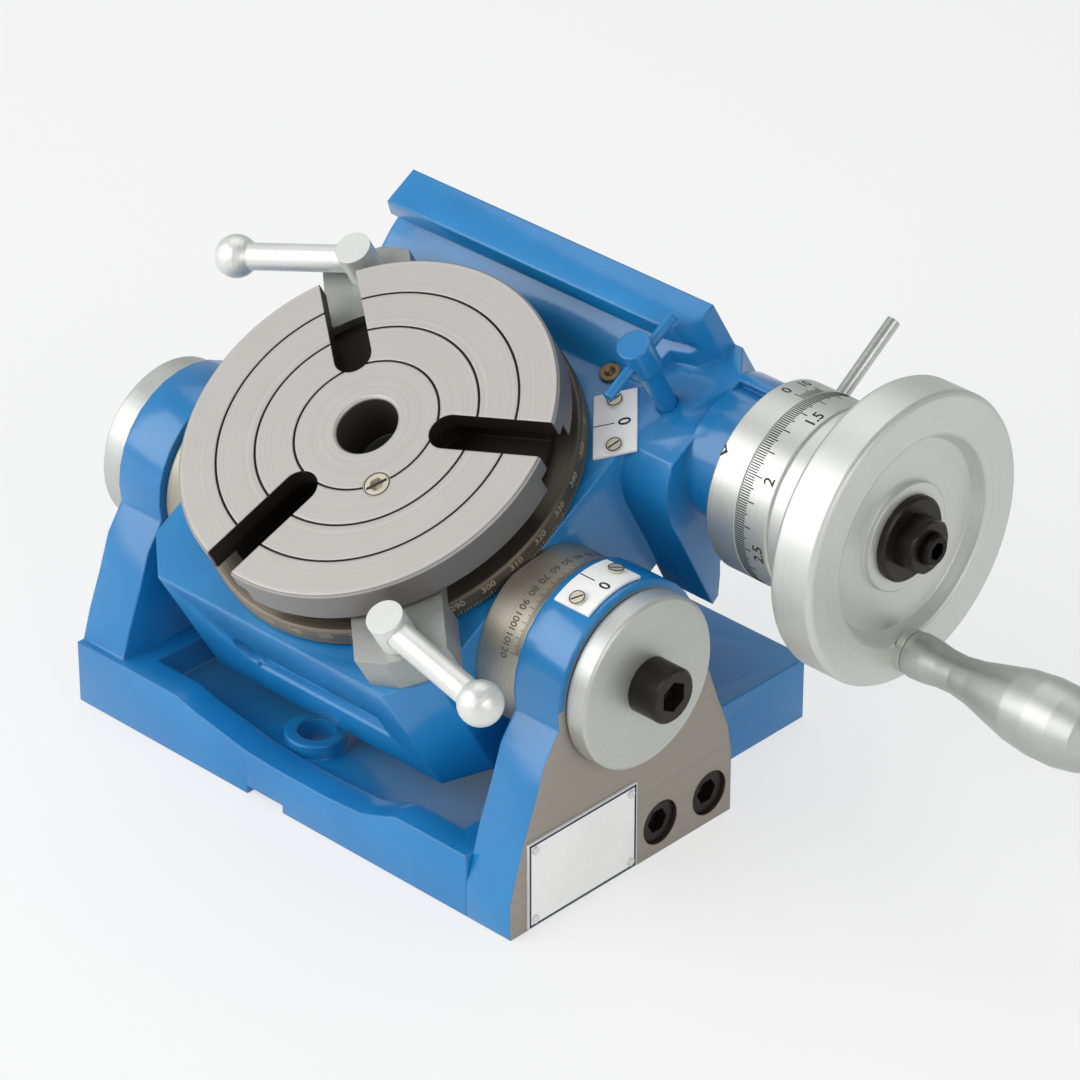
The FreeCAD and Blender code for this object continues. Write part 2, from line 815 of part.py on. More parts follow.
def clamp_outline(margin):
    """Plan of a clamp block that lies along +X from the table axis, grown by a margin."""
    half = S["clamp_half"] + margin
    inner = S["tongue_inner"] - 1 - margin
    outer = S["clamp_ring"] + S["clamp_outer"] + margin
    bevel = S["clamp_bevel"]
    return [(inner, -half), (outer - bevel, -half), (outer, -half + 2 * bevel), (outer, half),
            (inner, half)]


def cover_screw_places():
    shift = S["cover_screw_shift"]
    return [(side * shift, TABLE + end * shift) for side in (-1, 1) for end in (-1, 1)]


def index_screw_places():
    turn = S["table_index_turn"] + 90
    places = []
    for side in (-1, 1):
        shift = side * S["index_screw_shift"]
        places.append((S["table_index_x"] + shift * cosine(turn),
                       S["table_index_y"] + shift * sine(turn)))
    return places


def make_table_bush():
    inner = S["hub_radius"] + TURN
    outer = S["hub_radius"] + S["bush_wall"]
    flange = S["hub_radius"] + S["bush_flange"]
    top = SCALE_LOW - TURN
    shoulder = S["body_top"] - S["bush_flange_thick"] + FIT
    low = S["chamber_roof"] + 5
    points = [(inner, low), (outer, low), (outer, shoulder), (flange, shoulder),
              (flange, top), (inner, top)]
    cradle("table_bush", lathe("table_bush_blank", points, (0, TABLE, 0)))


def make_bottom_cover():
    half = S["cover_half"]
    rounding = S["cover_round"]
    low = S["body_bottom"] - S["cover_thick"]
    plan = [(-half + rounding, TABLE - half), (half - rounding, TABLE - half),
            (half, TABLE - half + rounding), (half, TABLE + half - rounding),
            (half - rounding, TABLE + half), (-half + rounding, TABLE + half),
            (-half, TABLE + half - rounding), (-half, TABLE - half + rounding)]
    plate = prism("cover_plate", "XY_Plane", plan, S["cover_thick"], low)
    tools = []
    screws = []
    radius = S["index_screw_radius"] + 0.7
    for index, (x_at, y_at) in enumerate(cover_screw_places()):
        tools.append(cylinder(f"cover_hole_{index}", radius + FIT, S["cover_thick"] + 2,
                              (x_at, y_at, low - 1)))
        tools.append(cylinder(f"cover_sink_{index}", 1.9 * radius + FIT, 2.4,
                              (x_at, y_at, low - 1)))
        shank = cylinder(f"cover_shank_{index}", radius, 13, (x_at, y_at, low + 0.1))
        head = cylinder(f"cover_head_{index}", 1.9 * radius, 1.3, (x_at, y_at, low + 0.1))
        screws.append(fuse(f"cover_screw_{index}", shank, head))
    cradle("bottom_cover", cut("cover_cut", plate, *tools))
    cradle("cover_screws", *screws)


def make_oiler():
    x_at = S["oiler_x"]
    y_at = S["oiler_y"]
    top = S["body_top"]
    low = SLEEVE_Z + S["sleeve_radius"] + S["seat_gap"]
    cup = cylinder("oiler_cup", S["oiler_radius"], top + 0.8 - low, (x_at, y_at, low))
    hollow = cone("oiler_hollow", 0.9, 1.7, 0.9, (x_at, y_at, top))
    ball = sphere("oiler_ball", 0.9, (x_at, y_at, top - 0.2))
    cradle("ball_oiler", fuse("oiler_all", cut("oiler_cut", cup, hollow), ball))


def make_table_index():
    """White plate beside the graduated ring, with its long side across the index line."""
    thick = S["index_thick"]
    turn = S["table_index_turn"]
    wide = S["table_index_wide"]
    long = S["table_index_long"]
    corner_x = S["table_index_x"] - wide / 2 * cosine(turn) + long / 2 * sine(turn)
    corner_y = S["table_index_y"] - wide / 2 * sine(turn) - long / 2 * cosine(turn)
    plate = block("table_index_blank", (wide, long, thick), (corner_x, corner_y, S["body_top"]),
                  Rotation(Vector(0, 0, 1), turn.value))
    plate.setExpression("Placement.Rotation.Angle", turn.text)
    holes = []
    screws = []
    for index, (x_at, y_at) in enumerate(index_screw_places()):
        holes.append(cylinder(f"index_hole_{index}", S["index_screw_radius"] + FIT, 3,
                              (x_at, y_at, S["body_top"] - 1)))
        shank = cylinder(f"index_shank_{index}", S["index_screw_radius"], 4,
                         (x_at, y_at, S["body_top"] - 3))
        head = cylinder(f"index_head_{index}", S["index_screw_head"], 0.8,
                        (x_at, y_at, S["body_top"] + thick + 0.01))
        screws.append(fuse(f"index_screw_{index}", shank, head))
    cradle("table_index_plate", cut("table_index_cut", plate, *holes))
    cradle("table_index_screws", *screws)


# Trunnions, lock discs and lock bolts

def make_trunnion(side):
    """side is 1 for the right and -1 for the left; both are built to the right of the cradle."""
    name = "trunnion_right" if side > 0 else "trunnion_left"
    half = S["body_half"]
    inner_face = S["upright_inner"] if side > 0 else -S["upright_left_inner"]
    outer_face = RIGHT_OUTER if side > 0 else -LEFT_OUTER
    flange_end = inner_face - S["seat_gap"]
    cham = S["trunnion_chamfer"]
    end = outer_face - S["seat_gap"] / 2
    points = [(0, half - S["spigot_long"] + FIT), (S["spigot_radius"], half - S["spigot_long"] + FIT),
              (S["spigot_radius"], half), (S["trunnion_radius"], half),
              (S["trunnion_radius"], flange_end - cham), (S["trunnion_radius"] - cham, flange_end),
              (S["journal_radius"], flange_end), (S["journal_radius"], end), (0, end)]
    turn = ALONG_X if side > 0 else Rotation(Vector(0, 1, 0), -90)
    blank = lathe(name + "_blank", points, (0, 0, 0), turn)
    tools = [
        cylinder(name + "_tap", S["lock_bolt_radius"] + FIT, S["lock_bolt_grip"] + 4,
                 (side * (end - S["lock_bolt_grip"] - 1), 0, 0), turn),
        cylinder(name + "_relief", S["scale_radius"] + 2 * S["seat_gap"], 20,
                 (0, TABLE, S["body_top"])),
    ]
    screws = []
    for index in range(4):
        y_at = S["flange_screw_ring"] * cosine(45 + 90 * index)
        z_at = S["flange_screw_ring"] * sine(45 + 90 * index)
        seat = flange_end - S["flange_screw_sink"]
        tools.append(cylinder(f"{name}_hole_{index}", S["flange_screw_radius"] + FIT, 40,
                              (side * (half - 10), y_at, z_at), turn))
        tools.append(cylinder(f"{name}_sink_{index}", S["flange_screw_head"] + FIT, 8,
                              (side * seat, y_at, z_at), turn))
        shank = cylinder(f"{name}_shank_{index}", S["flange_screw_radius"],
                         seat - half + 6, (side * (half - 6), y_at, z_at), turn)
        head = cylinder(f"{name}_head_{index}", S["flange_screw_head"],
                        S["flange_screw_sink"] - 0.4, (side * seat, y_at, z_at), turn)
        socket = hexagon(f"{name}_socket_{index}", S["flange_screw_head"], 3,
                         (side * (seat + 2.6), y_at, z_at), turn)
        screws.append(cut(f"{name}_screw_{index}", fuse(f"{name}_bolt_{index}", shank, head), socket))
    cradle(name, cut(name + "_cut", blank, *tools))
    cradle(name + "_screws", *screws)
    make_lock(side, turn, outer_face, end)


def make_lock(side, turn, outer_face, end):
    word = "right" if side > 0 else "left"
    thick = S["disc_lock_thick"] if side > 0 else S["disc_lock_left_thick"]
    start = outer_face + S["seat_gap"]
    stop = start + thick
    cham = S["edge_chamfer"]
    hole = S["lock_bolt_radius"] + S["seat_gap"]
    points = [(hole, start), (S["disc_lock_radius"] - cham, start),
              (S["disc_lock_radius"], start + cham), (S["disc_lock_radius"], stop - cham),
              (S["disc_lock_radius"] - cham, stop), (hole, stop)]
    cradle("lock_disc_" + word, lathe("lock_disc_blank_" + word, points, (0, 0, 0), turn))
    tip = end - S["lock_bolt_grip"]
    head_start = stop + S["turn_gap"]
    head_end = head_start + S["lock_head_high"]
    radius = S["lock_bolt_radius"]
    head = S["lock_head_radius"]
    bolt = [(0, tip), (radius - cham, tip), (radius, tip + cham), (radius, head_start),
            (head, head_start), (head, head_end - cham), (head - cham, head_end), (0, head_end)]
    blank = lathe("lock_bolt_blank_" + word, bolt, (0, 0, 0), turn)
    socket = hexagon("lock_bolt_socket_" + word, S["lock_hex"], S["lock_hex_deep"] + 1,
                     (side * (head_end - S["lock_hex_deep"]), 0, 0), turn)
    cradle("lock_bolt_" + word, cut("lock_bolt_cut_" + word, blank, socket))


# Base, uprights and what is fixed to them

def upright_outline():
    """Rounded head on the trunnion axis, then sides that widen towards the foot."""
    half_width = S["upright_round"]
    front = S["upright_low_front"]
    rear = S["upright_low_rear"]
    left = [(-half_width * cosine(12), AXIS - half_width * sine(12)),
            (-half_width - 4.9, AXIS - 13.5), (-half_width - 8.6, AXIS - 24),
            (-half_width - 13, AXIS - 35), (front + 2, AXIS - 45), (front, AXIS - 52), (front, 0)]
    right = [(rear, 0), (rear, AXIS - 44), (half_width + 13, AXIS - 35),
             (half_width + 8.6, AXIS - 24), (half_width + 4.9, AXIS - 13.5),
             (half_width * cosine(12), AXIS - half_width * sine(12))]
    head = [(half_width * cosine(turn), AXIS + half_width * sine(turn))
            for turn in (0, 12, 24, 36, 48, 60, 72, 84, 96, 108, 120, 132, 144, 156, 168, 180)]
    return left + right + head


def make_base_casting():
    left = S["base_left"]
    right = S["upright_inner"]
    front = S["base_front"]
    rear = S["base_rear"]
    corner = S["base_corner"]
    high = S["base_high"]
    floor = S["floor_high"]
    plan = [(left, front), (right, front), (right, rear - corner), (right - corner, rear),
            (left + corner, rear), (left, rear - corner)]
    slab = prism("base_slab", "XY_Plane", plan, high)
    upright = prism("left_upright", "YZ_Plane", upright_outline(), S["upright_left_thick"],
                    LEFT_OUTER)
    inner_left = S["upright_left_inner"] + 7
    inner_right = right - S["side_rail"]
    inner_front = front + S["rail_wide"]
    inner_rear = rear - S["rail_wide"] - 3
    dip_shares = ((-1, 0), (-0.83, 0.31), (-0.59, 0.61), (-0.35, 0.9), (-0.09, 1), (0.37, 1),
                  (0.58, 0.9), (0.69, 0.82), (0.88, 0.34), (1, 0))
    dip_profile = [(S["front_dip_half"] * across, high - S["front_dip"] * deep)
                   for across, deep in dip_shares]
    dip_profile += [(S["front_dip_half"], high + 1), (-S["front_dip_half"], high + 1)]
    tools = [
        span("base_cavity", (inner_left, inner_front, floor), (inner_right, inner_rear, high + 1)),
        prism("front_dip_tool", "XZ_Plane", dip_profile, S["rail_wide"] + 2,
              -front - S["rail_wide"] - 1),
        span("keyway", (S["keyway_x"] - S["keyway_width"] / 2, front - 1, -1),
             (S["keyway_x"] + S["keyway_width"] / 2, rear + 1, S["keyway_deep"])),
        cylinder("bush_seat_left", S["journal_radius"] + S["trunnion_bush_wall"] + FIT, 30,
                 (LEFT_OUTER - 2, 0, AXIS), ALONG_X),
    ]
    for index in range(4):
        y_at = S["plate_screw_y"] - index * S["plate_screw_pitch"]
        tools.append(cylinder(f"plate_tap_{index}", S["plate_screw_radius"] + FIT,
                              S["plate_screw_grip"] + 2,
                              (right - S["plate_screw_grip"], y_at, S["plate_screw_high"]),
                              ALONG_X))
    bosses = [span("rear_pad", (S["pad_left"], S["pad_front"], floor - 1),
                   (inner_right + 1, inner_rear + 1, high))]
    holes = []
    for index in range(2):
        y_at = S["hold_front"] + index * S["hold_pitch"]
        bosses.append(cylinder(f"hold_boss_{index}", S["hold_boss"], S["hold_boss_high"] + 2,
                               (S["keyway_x"], y_at, floor - 2)))
        holes.append(cylinder(f"hold_hole_{index}", S["hold_radius"], high,
                              (S["keyway_x"], y_at, -1)))
    shell = cut("base_shell", fuse("base_solid", slab, upright), *tools)
    node("base_casting", cut("base_cut", fuse("base_bossed", shell, *bosses), *holes))


def make_right_upright():
    plate = prism("right_plate", "YZ_Plane", upright_outline(), S["upright_thick"],
                  S["upright_inner"])
    tools = [cylinder("bush_seat_right", S["journal_radius"] + S["trunnion_bush_wall"] + FIT, 30,
                      (S["upright_inner"] - 2, 0, AXIS), ALONG_X)]
    screws = []
    for index in range(4):
        y_at = S["plate_screw_y"] - index * S["plate_screw_pitch"]
        z_at = S["plate_screw_high"]
        seat = RIGHT_OUTER - S["plate_screw_sink"]
        tools.append(cylinder(f"plate_hole_{index}", S["plate_screw_radius"] + S["seat_gap"], 30,
                              (S["upright_inner"] - 2, y_at, z_at), ALONG_X))
        tools.append(cylinder(f"plate_sink_{index}", S["plate_screw_head"] + S["seat_gap"], 12,
                              (seat, y_at, z_at), ALONG_X))
        start = S["upright_inner"] - S["plate_screw_grip"] + 0.5
        shank = cylinder(f"plate_shank_{index}", S["plate_screw_radius"], seat - start + 1,
                         (start, y_at, z_at), ALONG_X)
        head = cylinder(f"plate_head_{index}", S["plate_screw_head"],
                        S["plate_screw_sink"] - 1.2, (seat, y_at, z_at), ALONG_X)
        socket = hexagon(f"plate_socket_{index}", S["plate_screw_head"], 6,
                         (seat + 3.4, y_at, z_at), ALONG_X)
        screws.append(cut(f"plate_screw_{index}", fuse(f"plate_bolt_{index}", shank, head), socket))
    for index, (turn, x_at) in enumerate(tilt_index_screw_places()):
        tools.append(tilt_index_hole(f"tilt_tap_{index}", turn, x_at))
    node("right_upright", cut("right_cut", plate, *tools))
    node("upright_screws", *screws)


def tilt_index_screw_places():
    """Angle forward of the top, and X, of the two screws in the tilt index plate."""
    start = S["index_start"]
    arc = S["index_arc"]
    x_at = S["upright_inner"] + S["index_inset"] + S["index_width"] / 2
    return [(start + arc * 0.854, x_at), (start + arc * 0.146, x_at)]


def tilt_index_hole(name, turn, x_at):
    """Radial hole through the plate into the rim of the upright."""
    reach = S["upright_round"] - 4
    y_at = -reach * sine(turn)
    z_at = AXIS + reach * cosine(turn)
    hole = cylinder(name, S["index_screw_radius"] + FIT, 8, (x_at, y_at, z_at),
                    Rotation(Vector(1, 0, 0), turn.value))
    hole.setExpression("Placement.Rotation.Angle", turn.text)
    return hole


def make_tilt_index():
    """Thin plate bent round the head of the right upright, beside the degree marks."""
    inner = S["upright_round"] + 0.1
    outer = inner + S["index_thick"]
    start_turn = 90 + S["index_start"].value
    turn = ALONG_X * Rotation(Vector(0, 0, 1), start_turn)
    low = (S["upright_inner"] + S["index_inset"], 0, AXIS)
    sector = wedge_cylinder("tilt_index_sector", outer, S["index_width"], S["index_arc"], low, turn)
    core = cylinder("tilt_index_core", inner, S["index_inset"] + S["index_width"] + 2,
                    (S["upright_inner"] - 1, 0, AXIS), ALONG_X)
    holes = []
    screws = []
    for index, (lean, x_at) in enumerate(tilt_index_screw_places()):
        holes.append(tilt_index_hole(f"tilt_plate_hole_{index}", lean, x_at))
        for name, radius, start, length in (
            ("shank", S["index_screw_radius"], S["upright_round"] - 3.6, as_size(5)),
            ("head", S["index_screw_head"], outer + 0.1, as_size(0.8)),
        ):
            piece = cylinder(f"tilt_{name}_{index}", radius, length,
                             (x_at, -start * sine(lean), AXIS + start * cosine(lean)),
                             Rotation(Vector(1, 0, 0), lean.value))
            piece.setExpression("Placement.Rotation.Angle", lean.text)
            screws.append(piece)
    node("tilt_index_plate", cut("tilt_index_cut", sector, core, *holes))
    node("tilt_index_screws", fuse("tilt_screw_0", *screws[:2]), fuse("tilt_screw_1", *screws[2:]))


def make_name_plate():
    """Bare plate: its place is left without any words."""
    low_y = S["name_front"]
    high_y = low_y + S["name_long"]
    low_z = S["name_low"]
    high_z = low_z + S["name_high"]
    plate = span("name_blank", (RIGHT_OUTER, low_y, low_z),
                 (RIGHT_OUTER + S["name_thick"], high_y, high_z))
    pins = []
    for y_at in (low_y + 2.5, high_y - 2.5):
        for z_at in (low_z + 2.5, high_z - 2.5):
            pins.append(cylinder(f"name_pin_{len(pins)}", S["pin_radius"], 0.5,
                                 (RIGHT_OUTER + S["name_thick"], y_at, z_at), ALONG_X))
    node("name_plate", plate)
    node("name_plate_pins", *pins)


def make_trunnion_bushes():
    inner = S["journal_radius"] + TURN
    outer = S["journal_radius"] + S["trunnion_bush_wall"]
    for word, start, stop in (
        ("right", S["upright_inner"], RIGHT_OUTER), ("left", LEFT_OUTER, S["upright_left_inner"])
    ):
        points = [(inner, start + 0.1), (outer, start + 0.1), (outer, stop - 0.1),
                  (inner, stop - 0.1)]
        node("trunnion_bush_" + word, lathe("trunnion_bush_blank_" + word, points,
                                            (0, 0, AXIS), ALONG_X))


# Table clamps

def make_clamp(word, angle, lever_angle):
    top = S["body_top"]
    high = S["clamp_high"]
    jaw = prism(f"clamp_jaw_{word}", "XY_Plane", clamp_outline(as_size(0)), high, top)
    place(jaw, (0, TABLE, 0), Rotation(Vector(0, 0, 1), angle))
    x_at, y_at = around_table(S["clamp_ring"], angle)
    relief = S["scale_radius"] + S["seat_gap"]
    tools = [
        cylinder(f"clamp_relief_{word}", relief, S["tongue_low"] - top + 1,
                 (0, TABLE, top - 1)),
        cylinder(f"clamp_neck_{word}", S["tongue_inner"], 40, (0, TABLE, top)),
        cylinder(f"clamp_hole_{word}", S["stud_radius"] + S["seat_gap"], 40, (x_at, y_at, top - 1)),
    ]
    cradle(f"clamp_block_{word}", cut(f"clamp_cut_{word}", jaw, *tools))
    head_low = top + high + TURN
    shank = cylinder(f"stud_shank_{word}", S["stud_radius"], S["stud_depth"] + high + 1,
                     (x_at, y_at, top - S["stud_depth"]))
    head = cylinder(f"stud_head_{word}", S["stud_head"], S["stud_head_high"],
                    (x_at, y_at, head_low))
    middle = head_low + S["stud_head_high"] / 2
    radius = S["lever_radius"]
    lean = as_size(lever_angle)
    turn = Rotation(Vector(0, 0, 1), lean.value) * Rotation(Vector(0, 1, 0), 90)
    hole = cylinder(f"lever_hole_{word}", radius + FIT, S["stud_head"] + 2,
                    (x_at + 1.5 * cosine(lean), y_at + 1.5 * sine(lean), middle), turn)
    cradle(f"clamp_stud_{word}", cut(f"stud_cut_{word}", fuse(f"stud_all_{word}", shank, head), hole))
    cradle(f"ball_lever_{word}", ball_lever(f"lever_body_{word}", (x_at, y_at, middle), turn))


def ball_lever(name, at, turn):
    """Rod with a ball at its end, turned about the rod's own axis."""
    radius = S["lever_radius"]
    ball = S["ball_radius"]
    middle = S["lever_long"]
    points = [(0, 2), (radius - 0.3, 2), (radius, 2.3)]
    join = math.degrees(math.asin(radius.value / ball.value))
    for index in range(13):
        angle = 180 - join - index * (180 - join) / 12
        across = ball * sine(angle) if index < 12 else 0
        points.append((across, middle + ball * cosine(angle)))
    return lathe(name, points, at, turn)


def make_tee_screw():
    x_at = S["tee_x"]
    y_at = S["tee_y"]
    tip = SLEEVE_Z + S["sleeve_radius"] + 0.3
    stem = cylinder("tee_stem", S["tee_stem_radius"], S["tee_head_low"] - tip + 1,
                    (x_at, y_at, tip))
    head = cylinder("tee_head", S["tee_head_radius"], S["tee_head_top"] - S["tee_head_low"],
                    (x_at, y_at, S["tee_head_low"]))
    start = y_at - S["tee_bar_long"] / 2
    hole = cylinder("tee_bar_hole", S["tee_bar_radius"] + FIT, S["tee_bar_long"],
                    (x_at, start, S["tee_bar_high"]), ALONG_Y)
    cradle("sleeve_lock_screw", cut("tee_cut", fuse("tee_all", stem, head), hole))
    cradle("sleeve_lock_bar", cylinder("tee_bar", S["tee_bar_radius"], S["tee_bar_long"],
                                       (x_at, start, S["tee_bar_high"]), ALONG_Y))


# Worm drive

def make_eccentric_sleeve():
    start = S["sleeve_start"]
    collar = S["collar_start"]
    barrel = cylinder("sleeve_barrel", S["sleeve_radius"], collar - start + 1,
                      (start, WORM_Y, SLEEVE_Z), ALONG_X)
    cham = S["edge_chamfer"]
    outer = S["collar_radius"]
    end = collar + S["collar_long"]
    flange = lathe_on_worm("sleeve_collar", [
        (2, collar), (outer - cham, collar), (outer, collar + cham), (outer, end), (2, end)])
    bore = cylinder("sleeve_bore_tool", S["sleeve_bore"], end - start + 2,
                    (start - 1, WORM_Y, WORM_Z), ALONG_X)
    window_turn = ALONG_X * Rotation(Vector(0, 0, 1), S["window_start"].value)
    window = wedge_cylinder("sleeve_window", S["sleeve_radius"] + 2, 2 * S["window_half"],
                            S["window_turn"], (-S["window_half"], WORM_Y, SLEEVE_Z), window_turn)
    hole = rod_cylinder("rod_hole", S["rod_radius"] + FIT, S["rod_start"] - 2, S["rod_end"])
    cradle("eccentric_sleeve",
           cut("sleeve_cut", fuse("sleeve_solid", barrel, flange), bore, window, hole))
    cradle("eccentric_lever", rod_cylinder("rod_body", S["rod_radius"], S["rod_start"],
                                           S["rod_end"]))


def rod_cylinder(name, radius, start, stop):
    """Cylinder that points away from the worm axis at the lever's angle."""
    angle = S["rod_angle"]
    return cylinder(name, radius, stop - start,
                    (S["rod_x"], WORM_Y + start * cosine(angle), WORM_Z + start * sine(angle)),
                    Rotation(Vector(1, 0, 0), angle.value - 90))


def make_worm_bushes():
    inner = S["journal_small"] + TURN
    outer = S["sleeve_bore"] - FIT
    gap = S["bush_gap"]
    for word, start, stop in (("inner", -gap - S["bush_inner_long"], -gap),
                              ("outer", gap, S["bush_outer_end"])):
        points = [(inner, start), (outer, start), (outer, stop), (inner, stop)]
        cradle(f"worm_bush_{word}", lathe_on_worm(f"worm_bush_blank_{word}", points))


def make_worm_shaft():
    gap = S["bush_gap"] - S["seat_gap"]
    journal = S["journal_small"]
    core = S["worm_radius"] - 1.25 * S["module_size"]
    thrust = S["thrust_radius"]
    step = gap - S["thrust_long"]
    seat = S["seat_radius"] - FIT
    hub_start = S["dial_start"] + S["seat_gap"]
    nut_start = S["bush_outer_end"] + S["seat_gap"]
    seat_end = S["wheel_face"] - S["recess_deep"] - 0.6
    start = -S["bush_gap"] - S["bush_inner_long"]
    points = [(0, start), (journal, start), (journal, -gap), (thrust, -gap), (thrust, -step),
              (core, -step), (core, step), (thrust, step), (thrust, gap), (journal, gap),
              (journal, nut_start), (journal - 0.2, nut_start), (journal - 0.2, hub_start),
              (seat, hub_start), (seat, seat_end), (S["stud_end_radius"], seat_end),
              (S["stud_end_radius"], S["stud_end"] - 0.6), (S["stud_end_radius"] - 0.6, S["stud_end"]),
              (0, S["stud_end"])]
    shaft = lathe("shaft_blank", points)
    lead = math.pi * S["module_size"]
    thread = make_thread(core, lead)
    socket = hexagon("shaft_socket", S["stud_end_radius"], 4, (0, 0, S["stud_end"] - 3))
    key = span("shaft_keyseat", (seat - S["key_width"] / 2, -S["key_width"] / 2, S["key_start"]),
               (seat + 2, S["key_width"] / 2, S["key_start"] + S["key_long"]))
    worm = cut("shaft_cut", fuse("shaft_threaded", shaft, thread), socket, key)
    place(worm, (0, WORM_Y, WORM_Z), ALONG_X)
    cradle("worm_shaft", worm)


def make_thread(core, lead):
    """Right-hand thread: a trapezium swept along a helix that starts on the local X axis."""
    turns = S["worm_turns"].value
    pitch = lead.value
    height = turns * pitch
    radius = S["worm_radius"].value
    lean = math.tan(math.radians(S["flank_angle"].value))
    half_thick = S["tooth_thick"].value / 2
    bottom = core.value - 0.3
    tip = radius + S["module_size"].value
    start = -height / 2
    corners = []
    for reach, side in ((bottom, -1), (tip, -1), (tip, 1), (bottom, 1)):
        half = half_thick - (reach - radius) * lean
        corners.append(Vector(reach, 0, start + side * half))
    profile = Part.makePolygon(corners + [corners[0]])
    helix = Part.makeHelix(pitch, height, radius)
    helix.translate(Vector(0, 0, start))
    sweep = Part.Wire(helix.Edges).makePipeShell([profile], True, True)
    thread = doc.addObject("Part::Feature", "worm_thread")
    thread.Shape = sweep
    return thread


def make_worm_nut():
    start = S["bush_outer_end"] + S["seat_gap"]
    inner = S["journal_small"] - 0.2 + FIT
    points = [(inner, start), (S["nut_radius"], start), (S["nut_radius"], start + S["nut_long"]),
              (inner, start + S["nut_long"])]
    cradle("worm_shaft_nut", lathe_on_worm("worm_nut_blank", points))


def make_handwheel():
    bore = S["seat_radius"]
    start = S["dial_start"] + S["seat_gap"]
    hub = S["dial_bore"] - TURN
    dial_end = S["dial_start"] + S["dial_long"] + S["seat_gap"]
    flange = S["wheel_hub_radius"]
    back = S["wheel_hub_end"]
    face = S["wheel_face"]
    rim = S["wheel_radius"]
    soft = S["rim_round"]
    floor = face - S["recess_deep"]
    inner = S["rim_inner"]
    points = [(bore, start), (hub, start), (hub, dial_end), (flange, dial_end), (flange, back),
              (rim - soft, back), (rim - soft / 3, back + soft / 3), (rim, back + soft),
              (rim, face - soft), (rim - soft / 3, face - soft / 3), (rim - soft, face),
              (inner + soft, face), (inner + soft / 3, face - soft / 3), (inner, face - soft),
              (inner - 0.8, floor + soft), (inner - 1.6, floor), (S["pad_radius"], floor),
              (S["pad_radius"], floor + S["pad_high"]), (bore, floor + S["pad_high"])]
    blank = lathe_on_worm("wheel_blank", points)
    key = span("wheel_keyway",
               (S["key_start"] - 6, WORM_Y + bore - 1, WORM_Z - S["key_width"] / 2 - FIT),
               (face, WORM_Y + bore + 1.6, WORM_Z + S["key_width"] / 2 + FIT))
    crank_y, crank_z = crank_place()
    hole = cylinder("crank_hole", S["spindle_screw"] + FIT, S["spindle_depth"] + 2,
                    (face - S["spindle_depth"] - 0.5, crank_y, crank_z), ALONG_X)
    cradle("handwheel", cut("wheel_body_cut", blank, key, hole))
    key_half = S["key_width"] / 2
    cradle("wheel_key", span("key_body",
           (S["key_start"] + FIT, WORM_Y + bore - key_half, WORM_Z - key_half),
           (S["key_start"] + S["key_long"] - FIT, WORM_Y + bore + key_half - 0.05,
            WORM_Z + key_half)))


def crank_place():
    return (WORM_Y + S["crank_ring"] * cosine(S["crank_angle"]),
            WORM_Z + S["crank_ring"] * sine(S["crank_angle"]))


def make_dial():
    start = S["dial_start"]
    end = start + S["dial_long"]
    inner = S["dial_bore"]
    outer = S["collar_radius"]
    cham = S["edge_chamfer"]
    points = [(inner, start), (outer, start), (outer, end - cham), (outer - cham, end),
              (inner, end)]
    cradle("graduated_dial", lathe_on_worm("dial_blank", points))


def make_wheel_nut():
    floor = S["wheel_face"] - S["recess_deep"] + S["pad_high"]
    hole = S["stud_end_radius"] + FIT
    cham = S["edge_chamfer"]
    washer_top = floor + S["washer_thick"]
    washer = [(hole, floor), (S["washer_radius"], floor), (S["washer_radius"], washer_top - cham),
              (S["washer_radius"] - cham, washer_top), (hole, washer_top)]
    cradle("wheel_washer", lathe_on_worm("washer_blank", washer))
    nut_low = washer_top + 0.02
    nut_top = nut_low + S["wheel_nut_high"]
    outer = S["wheel_nut_radius"]
    nut = [(hole, nut_low), (outer, nut_low), (outer, nut_top - cham), (outer - cham, nut_top),
           (hole, nut_top)]
    round_nut = lathe_on_worm("nut_blank", nut)
    flats = hexagon("nut_flats", 2 * outer * cosine(24), S["wheel_nut_high"] + 2,
                    (nut_low - 1, WORM_Y, WORM_Z), ALONG_X)
    cradle("wheel_nut", common("nut_shape", round_nut, flats))


def make_crank():
    crank_y, crank_z = crank_place()
    face = S["wheel_face"]
    screw = S["spindle_screw"]
    shoulder = S["spindle_shoulder"]
    thick = S["shoulder_thick"]
    end = S["grip_end"]
    head = S["grip_head"]
    head_thick = S["grip_head_thick"]
    seat = end - head_thick - 1
    spindle = [(0, face - S["spindle_depth"]), (screw, face - S["spindle_depth"]), (screw, face),
               (shoulder, face), (shoulder, face + thick), (screw, face + thick),
               (screw, seat), (head, seat), (head, seat + head_thick - 0.6),
               (head - 0.6, seat + head_thick), (0, seat + head_thick)]
    cradle("crank_spindle", lathe("spindle_blank", spindle, (0, crank_y, crank_z), ALONG_X))
    start = face + thick + S["seat_gap"]
    bore = screw + TURN
    tip = seat + 0.57 * head_thick
    shares = ((0, 0.545), (0.03, 0.58), (0.09, 0.563), (0.162, 0.5), (0.236, 0.491),
              (0.325, 0.571), (0.428, 0.732), (0.547, 0.911), (0.665, 1), (0.783, 0.991),
              (0.886, 0.875), (0.96, 0.696), (1, 0.554))
    grip = [(bore, start)]
    grip += [(S["grip_radius"] * wide, start + (tip - start) * along) for along, wide in shares]
    grip += [(head + TURN + 0.1, tip), (head + TURN + 0.1, seat - TURN), (bore, seat - TURN)]
    cradle("crank_grip", lathe("grip_blank", grip, (0, crank_y, crank_z), ALONG_X))


